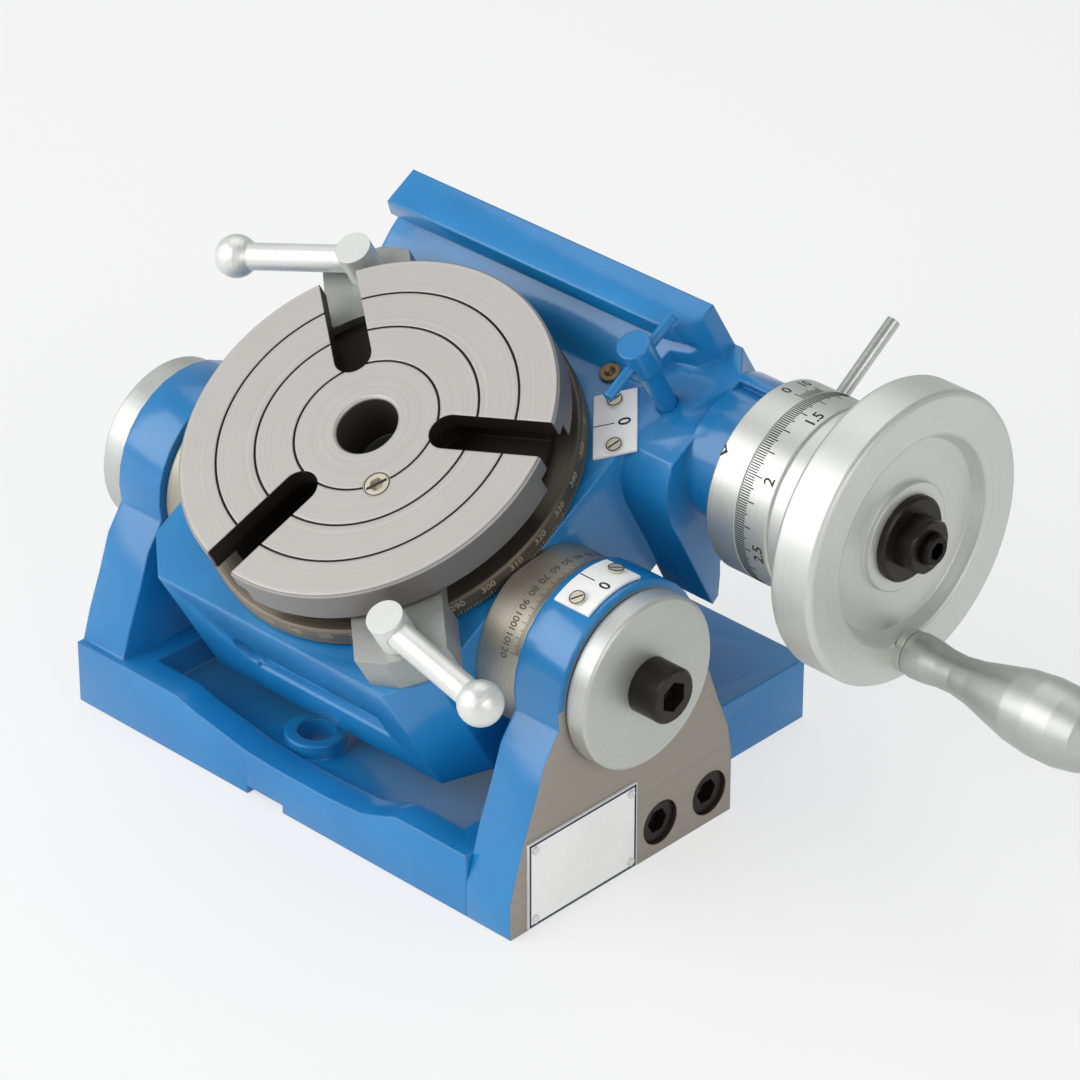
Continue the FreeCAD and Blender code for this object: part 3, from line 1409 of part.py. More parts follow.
def make_all():
    make_base_casting()
    make_right_upright()
    make_tilt_index()
    make_name_plate()
    make_trunnion_bushes()
    make_cradle_casting()
    make_table_bush()
    make_bottom_cover()
    make_oiler()
    make_table_index()
    for side in (-1, 1):
        make_trunnion(side)
    make_clamp("front", -45, S["lever_front_angle"])
    make_clamp("rear", 135, S["lever_rear_angle"])
    make_tee_screw()
    make_rotary_table()
    make_table_plug()
    make_graduated_ring()
    make_worm_wheel()
    make_wheel_screws()
    make_retaining_nut()
    make_centre_sleeve()
    make_eccentric_sleeve()
    make_worm_bushes()
    make_worm_shaft()
    make_worm_nut()
    make_handwheel()
    make_dial()
    make_wheel_nut()
    make_crank()


def check_document():
    """Stop if an object failed or a finished piece has no valid solid."""
    for item in doc.Objects:
        if "Invalid" in item.State or "Error" in item.State:
            raise RuntimeError(f"{item.Name} is {item.State}")
    for piece in NODES:
        shape = piece.Shape
        if shape.isNull() or not shape.isValid() or not shape.Solids:
            raise RuntimeError(f"{piece.Label} has no valid shape")


make_all()
doc.recompute()
check_document()
os.makedirs("parts", exist_ok=True)
for piece in NODES:
    piece.Shape.exportStep(f"parts/{piece.Label}.step")
    print(piece.Label, len(piece.Shape.Solids), round(piece.Shape.Volume, 1))
print(len(NODES), "nodes")
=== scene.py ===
# %% [markdown]
# # A tilting rotary table
#
# The real object is a small machine tool accessory: a round steel table with T-slots, turned by
# a worm and a handwheel, in an iron cradle that tilts between two uprights. The solids come
# from a CAD model that is loaded first and never moved. This lesson gives them their finishes,
# rounds the edges of the castings, and adds what is engraved, printed and screwed on.

# %% Load the frame
import json
import math
import bmesh
import bpy
from mathutils import Matrix, Vector

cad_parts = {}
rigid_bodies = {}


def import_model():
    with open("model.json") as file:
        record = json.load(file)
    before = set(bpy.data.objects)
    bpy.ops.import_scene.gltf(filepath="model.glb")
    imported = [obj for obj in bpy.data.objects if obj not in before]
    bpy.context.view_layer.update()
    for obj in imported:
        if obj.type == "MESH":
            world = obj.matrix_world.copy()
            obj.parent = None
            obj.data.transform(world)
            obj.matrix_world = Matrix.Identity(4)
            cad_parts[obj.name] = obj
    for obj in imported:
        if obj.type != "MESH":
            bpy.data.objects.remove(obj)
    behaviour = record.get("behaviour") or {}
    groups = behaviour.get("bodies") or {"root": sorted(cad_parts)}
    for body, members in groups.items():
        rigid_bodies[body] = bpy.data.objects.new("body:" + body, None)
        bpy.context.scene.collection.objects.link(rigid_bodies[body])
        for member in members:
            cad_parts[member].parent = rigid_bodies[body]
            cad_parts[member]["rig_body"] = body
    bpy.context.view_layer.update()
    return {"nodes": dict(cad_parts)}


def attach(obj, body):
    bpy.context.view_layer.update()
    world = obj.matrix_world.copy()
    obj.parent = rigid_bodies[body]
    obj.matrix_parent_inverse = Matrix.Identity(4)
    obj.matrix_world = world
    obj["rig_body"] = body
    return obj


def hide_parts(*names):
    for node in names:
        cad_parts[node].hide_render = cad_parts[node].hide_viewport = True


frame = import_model()
nodes = frame["nodes"]

# %% [markdown]
# ## Places
#
# Everything that the cradle carries was drawn level and then tilted by 30 degrees about the
# trunnion axis. A matrix for each axis of rotation lets a mark or a label be made in a simple
# upright position, then put where it belongs with one transform of its mesh.

# %% Axes of rotation
MM = 0.001
TILT = math.radians(30)
AXIS_HEIGHT = 63.3 * MM
TABLE_SHIFT = 13.3 * MM
WORM_Y = 68.3 * MM
WORM_Z = 2.2 * MM
TABLE_TOP = 45.9 * MM
CRADLE = Matrix.Translation((0, 0, AXIS_HEIGHT)) @ Matrix.Rotation(TILT, 4, "X")
LAY_ON_X = Matrix(((0, 0, 1, 0), (1, 0, 0, 0), (0, 1, 0, 0), (0, 0, 0, 1)))
TABLE_FRAME = CRADLE @ Matrix.Translation((0, TABLE_SHIFT, 0))
WORM_FRAME = CRADLE @ Matrix.Translation((0, WORM_Y, WORM_Z)) @ LAY_ON_X
TRUNNION_FRAME = CRADLE @ LAY_ON_X
UPRIGHT_FRAME = Matrix.Translation((0, 0, AXIS_HEIGHT)) @ LAY_ON_X
print("table axis passes through", [round(part, 4) for part in TABLE_FRAME.translation])

# %% [markdown]
# ## Camera
#
# The photograph was taken from the front right, a little above, with a long lens. The numbers
# come from fitting a pinhole camera to the edges of the table, the base and the uprights.

# %% Camera
camera_data = bpy.data.cameras.new("camera")
camera_data.sensor_width = 36.0
camera_data.lens = 180.93
camera_data.clip_end = 10.0
CAMERA_PLACE = (0.9059, -0.8884, 0.8396)
CAMERA_LOOK = (-0.5915, 0.6166, -0.5195)
CAMERA_ROLL = math.radians(0.03)
camera = bpy.data.objects.new("camera", camera_data)
bpy.context.scene.collection.objects.link(camera)
bpy.context.scene.camera = camera
look = Vector(CAMERA_LOOK).normalized()
right = look.cross(Vector((0, 0, 1))).normalized()
up = right.cross(look)
facing = Matrix((right, up, -look)).transposed().to_4x4()
camera.matrix_world = (
    Matrix.Translation(CAMERA_PLACE) @ facing @ Matrix.Rotation(CAMERA_ROLL, 4, "Z")
)
print("camera elevation", round(math.degrees(math.asin(-look.z)), 1))

# %% [markdown]
# ## One helper for nodes
#
# Every material below is a small tree of nodes. One function adds a node, sets its properties
# or the values of its sockets, and links what feeds it. A colour is written as the hex value
# that a picture editor shows, so another function turns it to the linear light that the
# renderer works in.

# %% Helpers for nodes
def linear(hex_colour):
    """Linear light for an sRGB hex value."""
    parts = [int(hex_colour[start:start + 2], 16) / 255 for start in (1, 3, 5)]
    light = [part / 12.92 if part <= 0.04045 else ((part + 0.055) / 1.055) ** 2.4 for part in parts]
    return (*light, 1.0)


def add(tree, kind, settings=None, links=None):
    """Add a node, give its properties or sockets their values, and link what feeds it."""
    item = tree.nodes.new(kind)
    for name, value in (settings or {}).items():
        if isinstance(name, str) and name.islower() and hasattr(item, name):
            setattr(item, name, value)
        else:
            item.inputs[name].default_value = value
    for name, source in (links or {}).items():
        tree.links.new(source, item.inputs[name])
    return item


def new_material(name, shader):
    """A material with one principled shader, whose constants are set on its own sockets."""
    material = bpy.data.materials.new(name)
    material.use_nodes = True
    tree = material.node_tree
    tree.nodes.clear()
    surface = add(tree, "ShaderNodeBsdfPrincipled", shader)
    add(tree, "ShaderNodeOutputMaterial", links={"Surface": surface.outputs[0]})
    place = add(tree, "ShaderNodeTexCoord").outputs["Object"]
    return material, tree, surface, place


def ramp(tree, source, *stops):
    """A colour ramp through (position, hex colour) stops."""
    item = add(tree, "ShaderNodeValToRGB", links={0: source})
    points = item.color_ramp.elements
    for index, (position, colour) in enumerate(stops):
        point = points[index] if index < 2 else points.new(position)
        point.position = position
        point.color = linear(colour)
    return item.outputs["Color"]


def about_axis(tree, place, centre, axis):
    """Distance from an axis of the tilted cradle, place along it, and the turned direction."""
    level = add(tree, "ShaderNodeMapping", {"vector_type": "TEXTURE", "Location": centre,
                                            "Rotation": (TILT, 0, 0)}, {"Vector": place})
    flat = (1, 1, 0) if axis == "Z" else (0, 1, 1)
    across = add(tree, "ShaderNodeVectorMath", {"operation": "MULTIPLY", 1: flat},
                 {0: level.outputs[0]})
    radius = add(tree, "ShaderNodeVectorMath", {"operation": "LENGTH"}, {0: across.outputs[0]})
    parts = add(tree, "ShaderNodeSeparateXYZ", links={0: level.outputs[0]})
    return level.outputs[0], radius.outputs["Value"], parts.outputs[axis]


def math_node(tree, operation, *values):
    """Result of a math node; each value is a number or a socket."""
    item = add(tree, "ShaderNodeMath", {"operation": operation})
    for index, value in enumerate(values):
        if isinstance(value, (int, float)):
            item.inputs[index].default_value = value
        else:
            tree.links.new(value, item.inputs[index])
    return item.outputs[0]


def surface_of(material):
    """The tree of a material, its shader, and what now feeds the colour."""
    tree = material.node_tree
    surface = next(item for item in tree.nodes if item.type == "BSDF_PRINCIPLED")
    return tree, surface, surface.inputs["Base Color"].links[0].from_socket


print("white is", linear("#FFFFFF"))

# %% [markdown]
# ## Studio
#
# The light comes from a large soft box in front on the left, a smaller one on the right and a
# third overhead. The floor is pale and glows a little, most of all to the camera, and keeps a
# soft shadow under the base.

# %% Studio
scene = bpy.context.scene
scene.view_settings.view_transform = "Standard"

world = bpy.data.worlds.new("studio")
scene.world = world
world.use_nodes = True
world.node_tree.nodes.clear()
air = world.node_tree
direction = add(air, "ShaderNodeTexCoord").outputs["Generated"]
height = add(air, "ShaderNodeSeparateXYZ", links={0: direction}).outputs["Z"]
lift = add(air, "ShaderNodeMapRange", {"From Min": -0.35, "From Max": 0.95}, {"Value": height})
room = ramp(air, lift.outputs[0], (0.0, "#B4B4B4"), (1.0, "#8E8F91"), (0.42, "#C6C7C9"))
fill_light = add(air, "ShaderNodeBackground", {"Strength": 0.86}, {"Color": room})
backdrop = add(air, "ShaderNodeBackground", {"Color": (1, 1, 1, 1), "Strength": 1.0})
rays = add(air, "ShaderNodeLightPath")
sky = add(air, "ShaderNodeMixShader", links={0: rays.outputs["Is Camera Ray"],
                                             1: fill_light.outputs[0], 2: backdrop.outputs[0]})
add(air, "ShaderNodeOutputWorld", links={0: sky.outputs[0]})


def soft_box(name, place, target, size, power):
    lamp = bpy.data.lights.new(name, "AREA")
    lamp.shape = "RECTANGLE"
    lamp.size, lamp.size_y = size
    lamp.energy = power
    item = bpy.data.objects.new(name, lamp)
    scene.collection.objects.link(item)
    gaze = (Vector(target) - Vector(place)).to_track_quat("-Z", "Y")
    item.matrix_world = Matrix.Translation(place) @ gaze.to_matrix().to_4x4()
    return item


soft_box("key_box", (-0.55, -1.0, 0.72), (0, 0.02, 0.06), (1.5, 1.1), 14.5)
soft_box("side_box", (1.15, -0.25, 0.62), (0.05, 0.03, 0.06), (0.8, 0.7), 4.2)
soft_box("top_box", (-0.35, 0.35, 1.15), (0, 0.02, 0.08), (1.0, 0.9), 3.4)

floor_mesh = bpy.data.meshes.new("floor")
reach = 6.0
floor_mesh.from_pydata([(-reach, -reach, -0.0002), (reach, -reach, -0.0002),
                        (reach, reach, -0.0002), (-reach, reach, -0.0002)], [], [(0, 1, 2, 3)])
floor = bpy.data.objects.new("floor", floor_mesh)
scene.collection.objects.link(floor)
paper = bpy.data.materials.new("matt_paper_sweep")
paper.use_nodes = True
paper.node_tree.nodes.clear()
sheet = paper.node_tree
matt = add(sheet, "ShaderNodeBsdfDiffuse", {"Color": linear("#F1F1F0")})
bright = add(sheet, "ShaderNodeEmission", {"Color": (1, 1, 1, 1), "Strength": 1.0})
seen = add(sheet, "ShaderNodeLightPath")
share = math_node(sheet, "MULTIPLY_ADD", seen.outputs["Is Camera Ray"], 0.30, 0.34)
mixed = add(sheet, "ShaderNodeMixShader",
            links={0: share, 1: matt.outputs[0], 2: bright.outputs[0]})
add(sheet, "ShaderNodeOutputMaterial", links={0: mixed.outputs[0]})
floor_mesh.materials.append(paper)

# %% [markdown]
# ## Blue enamel over cast iron
#
# The castings are sprayed with a semi-gloss enamel over sanded filler. Its colour is even, but
# the film is slightly thicker in places and has a fine orange peel of about 2 mm, which breaks
# up reflections. A clear coat gives the sharp highlight over the softer one.

# %% Enamel
def make_enamel(name):
    """Blue enamel, with edges that the shader rounds off."""
    material, tree, surface, place = new_material(
        name, {"Roughness": 0.4, "Coat Weight": 0.7, "Coat Roughness": 0.14, "IOR": 1.45})
    cloud = add(tree, "ShaderNodeTexNoise", {"Scale": 34.0, "Detail": 3.0}, {"Vector": place})
    film = ramp(tree, cloud.outputs[0], (0.32, "#0C75B3"), (0.68, "#1481C0"))
    speck = add(tree, "ShaderNodeTexNoise", {"Scale": 620.0, "Detail": 2.0}, {"Vector": place})
    dust = add(tree, "ShaderNodeMapRange", {"From Min": 0.7, "From Max": 0.78, "To Max": 0.3},
               {"Value": speck.outputs[0]})
    paint = add(tree, "ShaderNodeMix", {"data_type": "RGBA", 7: linear("#4FA6E4")},
                {0: dust.outputs[0], 6: film}).outputs[2]
    peel = add(tree, "ShaderNodeTexNoise", {"Scale": 420.0, "Detail": 1.0}, {"Vector": place})
    wave = add(tree, "ShaderNodeTexNoise", {"Scale": 55.0, "Detail": 1.0}, {"Vector": place})
    rough = add(tree, "ShaderNodeMapRange", {"To Min": 0.34, "To Max": 0.46},
                {"Value": cloud.outputs[0]})
    edges = add(tree, "ShaderNodeBevel", {"samples": 6, "Radius": EDGE_ROUND})
    fine = add(tree, "ShaderNodeBump", {"Strength": 0.10, "Distance": 0.0003},
               {"Height": peel.outputs[0], "Normal": edges.outputs[0]})
    bump = add(tree, "ShaderNodeBump", {"Strength": 0.25, "Distance": 0.0006},
               {"Height": wave.outputs[0], "Normal": fine.outputs[0]})
    tree.links.new(bump.outputs[0], surface.inputs["Coat Normal"])
    tree.links.new(bump.outputs[0], surface.inputs["Normal"])
    tree.links.new(paint, surface.inputs["Base Color"])
    tree.links.new(rough.outputs[0], surface.inputs["Roughness"])
    return material, tree, surface, place


EDGE_ROUND = 1.0 * MM
enamel = make_enamel("semi_gloss_blue_enamel")[0]

# %% [markdown]
# The outer face of the right upright is machined bare, up to the painted rim of its round
# head, and its four screws sit in bare counterbores, whose walls are painted almost black as
# painted shade. Distance from the nearest screw axis tells the counterbores apart: the number
# of the nearest screw comes from the place along the row, rounded and kept from 0 to 3.

# %% Enamel with machined faces
RIGHT_OUTER = max(vertex.co.x for vertex in nodes["right_upright"].data.vertices)
SCREW_FIRST, SCREW_PITCH, SCREW_HIGH, SINK_RADIUS = 32.9 * MM, 19.7 * MM, 9.5 * MM, 7.1 * MM
HEAD_BARE = 24.9 * MM
enamel_and_iron, _, _, place = make_enamel("blue_enamel_with_machined_face")
tree, surface, paint = surface_of(enamel_and_iron)
parts = add(tree, "ShaderNodeSeparateXYZ", links={0: place})
over = math_node(tree, "MAXIMUM", math_node(tree, "SUBTRACT", parts.outputs["Z"], AXIS_HEIGHT), 0)
head_round = add(tree, "ShaderNodeVectorMath", {"operation": "LENGTH"},
                 {0: add(tree, "ShaderNodeCombineXYZ",
                         links={0: parts.outputs["Y"], 1: over}).outputs[0]})
painted_rim = math_node(tree, "MULTIPLY", math_node(tree, "GREATER_THAN", over, 0.0),
                        math_node(tree, "GREATER_THAN", head_round.outputs["Value"], HEAD_BARE))
face_bare = math_node(tree, "MULTIPLY",
                      math_node(tree, "GREATER_THAN", parts.outputs["X"], RIGHT_OUTER - 0.15 * MM),
                      math_node(tree, "SUBTRACT", 1.0, painted_rim))
steps = math_node(tree, "DIVIDE", math_node(tree, "SUBTRACT", SCREW_FIRST, parts.outputs["Y"]),
                  SCREW_PITCH)
nearest = math_node(tree, "MINIMUM",
                    math_node(tree, "MAXIMUM", math_node(tree, "ROUND", steps), 0.0), 3.0)
from_screw = math_node(tree, "MULTIPLY", math_node(tree, "SUBTRACT", steps, nearest), SCREW_PITCH)
from_height = math_node(tree, "SUBTRACT", parts.outputs["Z"], SCREW_HIGH)
away = add(tree, "ShaderNodeVectorMath", {"operation": "LENGTH"},
           {0: add(tree, "ShaderNodeCombineXYZ", links={0: from_screw, 1: from_height}).outputs[0]})
counterbore_shade = math_node(tree, "MULTIPLY",
                 math_node(tree, "LESS_THAN", away.outputs["Value"], SINK_RADIUS),
                 math_node(tree, "SUBTRACT", 1.0, face_bare))
grain = add(tree, "ShaderNodeMapping", {"Scale": (1, 12, 900), "Rotation": (0.35, 0, 0)},
            {"Vector": place})
lines = add(tree, "ShaderNodeTexNoise", {"Scale": 1.0, "Detail": 3.0}, {"Vector": grain.outputs[0]})
iron = ramp(tree, lines.outputs[0], (0.2, "#9A938A"), (0.8, "#A79F95"))
tone = add(tree, "ShaderNodeMix", {"data_type": "RGBA"}, {0: face_bare, 6: paint, 7: iron})
# Painted shade: the counterbore walls round the screws are painted almost black.
deep = add(tree, "ShaderNodeMix", {"data_type": "RGBA", 7: linear("#2E2925")},
           {0: counterbore_shade, 6: tone.outputs[2]})
finish = add(tree, "ShaderNodeMix", {"data_type": "FLOAT", 2: 0.3, 3: 0.5}, {0: face_bare})
clear = math_node(tree, "MULTIPLY_ADD", face_bare, -0.7, 0.7)
tree.links.new(deep.outputs[2], surface.inputs["Base Color"])
tree.links.new(math_node(tree, "MULTIPLY", face_bare, 0.45), surface.inputs["Metallic"])
tree.links.new(finish.outputs[0], surface.inputs["Roughness"])
tree.links.new(clear, surface.inputs["Coat Weight"])
print("made", enamel.name, "and", enamel_and_iron.name)

# %% [markdown]
# ## Turned and ground steel
#
# The table, the discs, the dial and the handwheel are turned on a lathe, so their finish is
# made of circles about their own axis. A one-dimensional noise of the distance from that axis
# gives uneven rings. The real feed marks are about 0.15 mm apart, too fine to show, so the
# rings here are about 0.7 mm apart. On a cylinder the rings run along the axis instead, and
# both are mixed.

# %% Turned metals
def make_turned(name, centre, axis, dark, light, roughness, shader=None, streak=1400.0):
    settings = {"Metallic": 0.8, "Anisotropic": 0.12}
    settings.update(shader or {})
    material, tree, surface, place = new_material(name, settings)
    level, radius, along = about_axis(tree, place, centre, axis)
    total = add(tree, "ShaderNodeMath", {"operation": "ADD"}, {0: radius, 1: along})
    rings = add(tree, "ShaderNodeTexNoise",
                {"noise_dimensions": "1D", "Scale": streak, "Detail": 4.0, "Roughness": 0.7},
                {"W": total.outputs[0]})
    cloud = add(tree, "ShaderNodeTexNoise", {"Scale": 60.0, "Detail": 4.0}, {"Vector": place})
    blend = add(tree, "ShaderNodeMath", {"operation": "MULTIPLY_ADD", 1: 0.35},
                {0: cloud.outputs[0], 2: rings.outputs[0]})
    tone = add(tree, "ShaderNodeMapRange", {"From Min": 0.42, "From Max": 0.92},
               {"Value": blend.outputs[0]})
    colour = ramp(tree, tone.outputs[0], (0.0, dark), (1.0, light))
    rough = add(tree, "ShaderNodeMapRange",
                {"From Min": 0.3, "From Max": 0.7, "To Min": roughness - 0.03,
                 "To Max": roughness + 0.04}, {"Value": rings.outputs[0]})
    edges = add(tree, "ShaderNodeBevel", {"samples": 6, "Radius": 0.7 * MM})
    bump = add(tree, "ShaderNodeBump", {"Strength": 0.03, "Distance": 0.0002},
               {"Height": rings.outputs[0], "Normal": edges.outputs[0]})
    tree.links.new(colour, surface.inputs["Base Color"])
    tree.links.new(rough.outputs[0], surface.inputs["Roughness"])
    tree.links.new(bump.outputs[0], surface.inputs["Normal"])
    return material, tree, surface, (level, radius, along, colour)


TABLE_CENTRE = tuple(TABLE_FRAME.translation)
WORM_CENTRE = tuple(WORM_FRAME.translation)
TRUNNION_CENTRE = tuple(TRUNNION_FRAME.translation)
wheel_metal = make_turned("satin_turned_aluminium", WORM_CENTRE, "X", "#D0D2CD", "#DCDED8", 0.46)[0]
dial_metal = make_turned("satin_chrome_dial", WORM_CENTRE, "X", "#C6C8C2", "#D3D5CF", 0.42)[0]
disc_metal = make_turned("satin_turned_steel_disc", TRUNNION_CENTRE, "X", "#C2C4BF", "#CFD1CC",
                         0.48)[0]
ring_metal = make_turned("trunnion_ring_steel", TRUNNION_CENTRE, "X", "#A29C8E", "#BBB4A6", 0.45)[0]
print("turned metals", 4)

# %% [markdown]
# ## The table's own steel
#
# The table's top is ground bright. Its three ring grooves, its bore and the walls of the
# T-slots are left as cut and hold oil, and the shade that falls in them is painted into the
# colour too, so they are almost black. Its side is painted darker, and darker still towards
# the right, as painted shade. The same material tells these places apart by their distance
# from the table's axis and their depth below the face.

# %% Table steel
table_metal, tree, surface, found = make_turned(
    "ground_steel_table", TABLE_CENTRE, "Z", "#B9B5B1", "#C6C2BE", 0.5,
    {"Metallic": 0.5, "Anisotropic": 0.0}, streak=900.0)
level, radius, along, colour = found
sideways = add(tree, "ShaderNodeSeparateXYZ", links={0: level})
inside = add(tree, "ShaderNodeMapRange", {"From Min": 54.95 * MM, "From Max": 54.3 * MM},
             {"Value": radius}).outputs[0]
beyond = add(tree, "ShaderNodeMapRange", {"From Min": 9.4 * MM, "From Max": 11.0 * MM},
             {"Value": radius}).outputs[0]
cut = math_node(tree, "MULTIPLY", inside, beyond)
deep = add(tree, "ShaderNodeMapRange", {"From Min": TABLE_TOP - 0.4 * MM,
                                        "From Max": TABLE_TOP - 1.4 * MM}, {"Value": along})
slots = math_node(tree, "MULTIPLY", math_node(tree, "MULTIPLY", deep.outputs[0], inside), 0.9)
groove = add(tree, "ShaderNodeMapRange", {"From Min": TABLE_TOP - 0.02 * MM,
                                          "From Max": TABLE_TOP - 0.3 * MM}, {"Value": along})
grooves = math_node(tree, "MULTIPLY", groove.outputs[0], cut)
# Oil colour and painted shade in the grooves, the bore and the slot walls, as one dark tone.
oil_and_shade = add(tree, "ShaderNodeMix", {"data_type": "RGBA", 7: linear("#2B2622")},
            {0: math_node(tree, "MAXIMUM", slots, grooves), 6: colour}).outputs[2]
# Painted shade: the table's side is darkened, most of all towards the right.
rim = add(tree, "ShaderNodeMapRange", {"From Min": TABLE_TOP - 0.5 * MM,
                                       "From Max": TABLE_TOP - 1.2 * MM}, {"Value": along})
outer = math_node(tree, "MULTIPLY", math_node(tree, "SUBTRACT", 1.0, inside), rim.outputs[0])
shade = add(tree, "ShaderNodeMapRange", {"From Min": -0.01, "From Max": 0.05, "To Min": 0.62,
                                         "To Max": 0.36}, {"Value": sideways.outputs["X"]})
darker = add(tree, "ShaderNodeMix", {"data_type": "RGBA", "blend_type": "MULTIPLY"},
             {0: outer, 6: oil_and_shade, 7: shade.outputs[0]})
tree.links.new(darker.outputs[2], surface.inputs["Base Color"])
print("made", table_metal.name)

# %% [markdown]
# The graduated ring is the same steel left dark with oil. Its colour is also painted darker
# towards the right, as a painted reflection of the blue and the dark gap above it, so it runs
# from a warm grey in front to almost black on the right.

# %% Ring steel
scale_metal, tree, surface, found = make_turned(
    "oiled_and_painted_shade_scale_ring", TABLE_CENTRE, "Z", "#7E7568", "#9C9283", 0.46, {"Metallic": 0.65})
level = found[0]
side = add(tree, "ShaderNodeSeparateXYZ", links={0: level}).outputs["X"]
# Painted shade and painted reflection: the ring's colour darkens towards the right.
shade = add(tree, "ShaderNodeMapRange", {"From Min": -0.01, "From Max": 0.045, "To Min": 1.0,
                                         "To Max": 0.42}, {"Value": side})
oiled_tone_with_painted_shade = add(tree, "ShaderNodeMix", {"data_type": "RGBA", "blend_type": "MULTIPLY", 0: 1.0},
          {6: found[3], 7: shade.outputs[0]})
tree.links.new(oiled_tone_with_painted_shade.outputs[2], surface.inputs["Base Color"])
print("made", scale_metal.name)


# %% [markdown]
# ## Other finishes
#
# Levers and small bars are satin chrome, the clamp blocks are milled steel, bolts are black
# oxide with a trace of oil, and bushes are sintered bronze. Each is one noise at the real
# scale of its grain, for the colour, the roughness and a small bump.

# %% Plain finishes
def make_grained(name, dark, light, metallic, roughness, grain_mm, stretch=(1, 1, 1), bump=0.1,
                 shader=None):
    settings = {"Metallic": metallic}
    settings.update(shader or {})
    material, tree, surface, place = new_material(name, settings)
    turned = add(tree, "ShaderNodeMapping", {"Scale": stretch}, {"Vector": place})
    grain = add(tree, "ShaderNodeTexNoise", {"Scale": 1000.0 / grain_mm, "Detail": 3.0},
                {"Vector": turned.outputs[0]})
    cloud = add(tree, "ShaderNodeTexNoise", {"Scale": 45.0, "Detail": 2.0}, {"Vector": place})
    both = add(tree, "ShaderNodeMath", {"operation": "MULTIPLY_ADD", 1: 0.5},
               {0: grain.outputs[0], 2: cloud.outputs[0]})
    tone = add(tree, "ShaderNodeMapRange", {"From Min": 0.5, "From Max": 1.0},
               {"Value": both.outputs[0]})
    colour = ramp(tree, tone.outputs[0], (0.0, dark), (1.0, light))
    rough = add(tree, "ShaderNodeMapRange", {"To Min": roughness - 0.06, "To Max": roughness + 0.08},
                {"Value": grain.outputs[0]})
    edges = add(tree, "ShaderNodeBevel", {"samples": 4, "Radius": 0.4 * MM})
    relief = add(tree, "ShaderNodeBump", {"Strength": bump, "Distance": 0.0002},
                 {"Height": grain.outputs[0], "Normal": edges.outputs[0]})
    tree.links.new(colour, surface.inputs["Base Color"])
    tree.links.new(rough.outputs[0], surface.inputs["Roughness"])
    tree.links.new(relief.outputs[0], surface.inputs["Normal"])
    return material


lever_metal = make_grained("satin_chrome_lever", "#DCDEDA", "#EAECE8", 0.55, 0.4, 0.6, bump=0.05)
rod_metal = make_grained("bright_steel_rod", "#BFC2BC", "#D2D5CF", 0.85, 0.32, 0.6, bump=0.05)
grip_metal = make_grained("blasted_aluminium_grip", "#B1B3AE", "#C6C8C3", 0.7, 0.42, 0.5, bump=0.1)
block_metal = make_grained("milled_steel_block", "#9C9E9A", "#B0B2AE", 0.55, 0.46, 0.7,
                           (1, 0.15, 1), 0.1)
oxide = make_grained("black_oxide_steel", "#1B1614", "#332A27", 0.55, 0.36, 0.8, bump=0.15)
bronze = make_grained("sintered_bronze", "#8C6A3C", "#B58F56", 0.95, 0.4, 0.4)
white_enamel = make_grained("white_stoved_enamel", "#EFEFED", "#FAFAF8", 0.0, 0.42, 1.2, bump=0.04)
cover_iron = make_grained("grey_cast_cover", "#2E2F30", "#454648", 0.3, 0.6, 1.5, bump=0.35)
brass = make_grained("dull_brass_oiler", "#7F6A4C", "#A58E6B", 0.8, 0.4, 0.5, bump=0.1)
cream_metal = make_grained("nickel_plated_screw", "#CFC8B4", "#E2DCCB", 0.6, 0.38, 0.5, bump=0.06)
black_fill_and_shade = make_grained("black_engraving_paint_and_shade", "#151414", "#2A2827", 0.0, 0.6, 0.6)
grey_fill = make_grained("worn_engraving_paint", "#4B4943", "#6C6960", 0.1, 0.6, 0.6)
cream_fill = make_grained("cream_engraving_paint", "#8F8566", "#B5AA86", 0.0, 0.55, 0.6)
navy_print = make_grained("dark_blue_screen_print", "#1B2340", "#28325C", 0.0, 0.5, 0.8)

shaft_metal = make_grained("ground_steel_shaft", "#9C9E9A", "#B0B2AE", 0.85, 0.4, 0.7)
tree, surface, steel = surface_of(shaft_metal)
reach = add(tree, "ShaderNodeSeparateXYZ",
            links={0: add(tree, "ShaderNodeTexCoord").outputs["Object"]}).outputs["X"]
STUD_START = 129.0 * MM
stud = math_node(tree, "GREATER_THAN", reach, STUD_START)
ends = add(tree, "ShaderNodeMix", {"data_type": "RGBA", 7: linear("#1D1816")}, {0: stud, 6: steel})
tree.links.new(ends.outputs[2], surface.inputs["Base Color"])
print("plain finishes", 15)

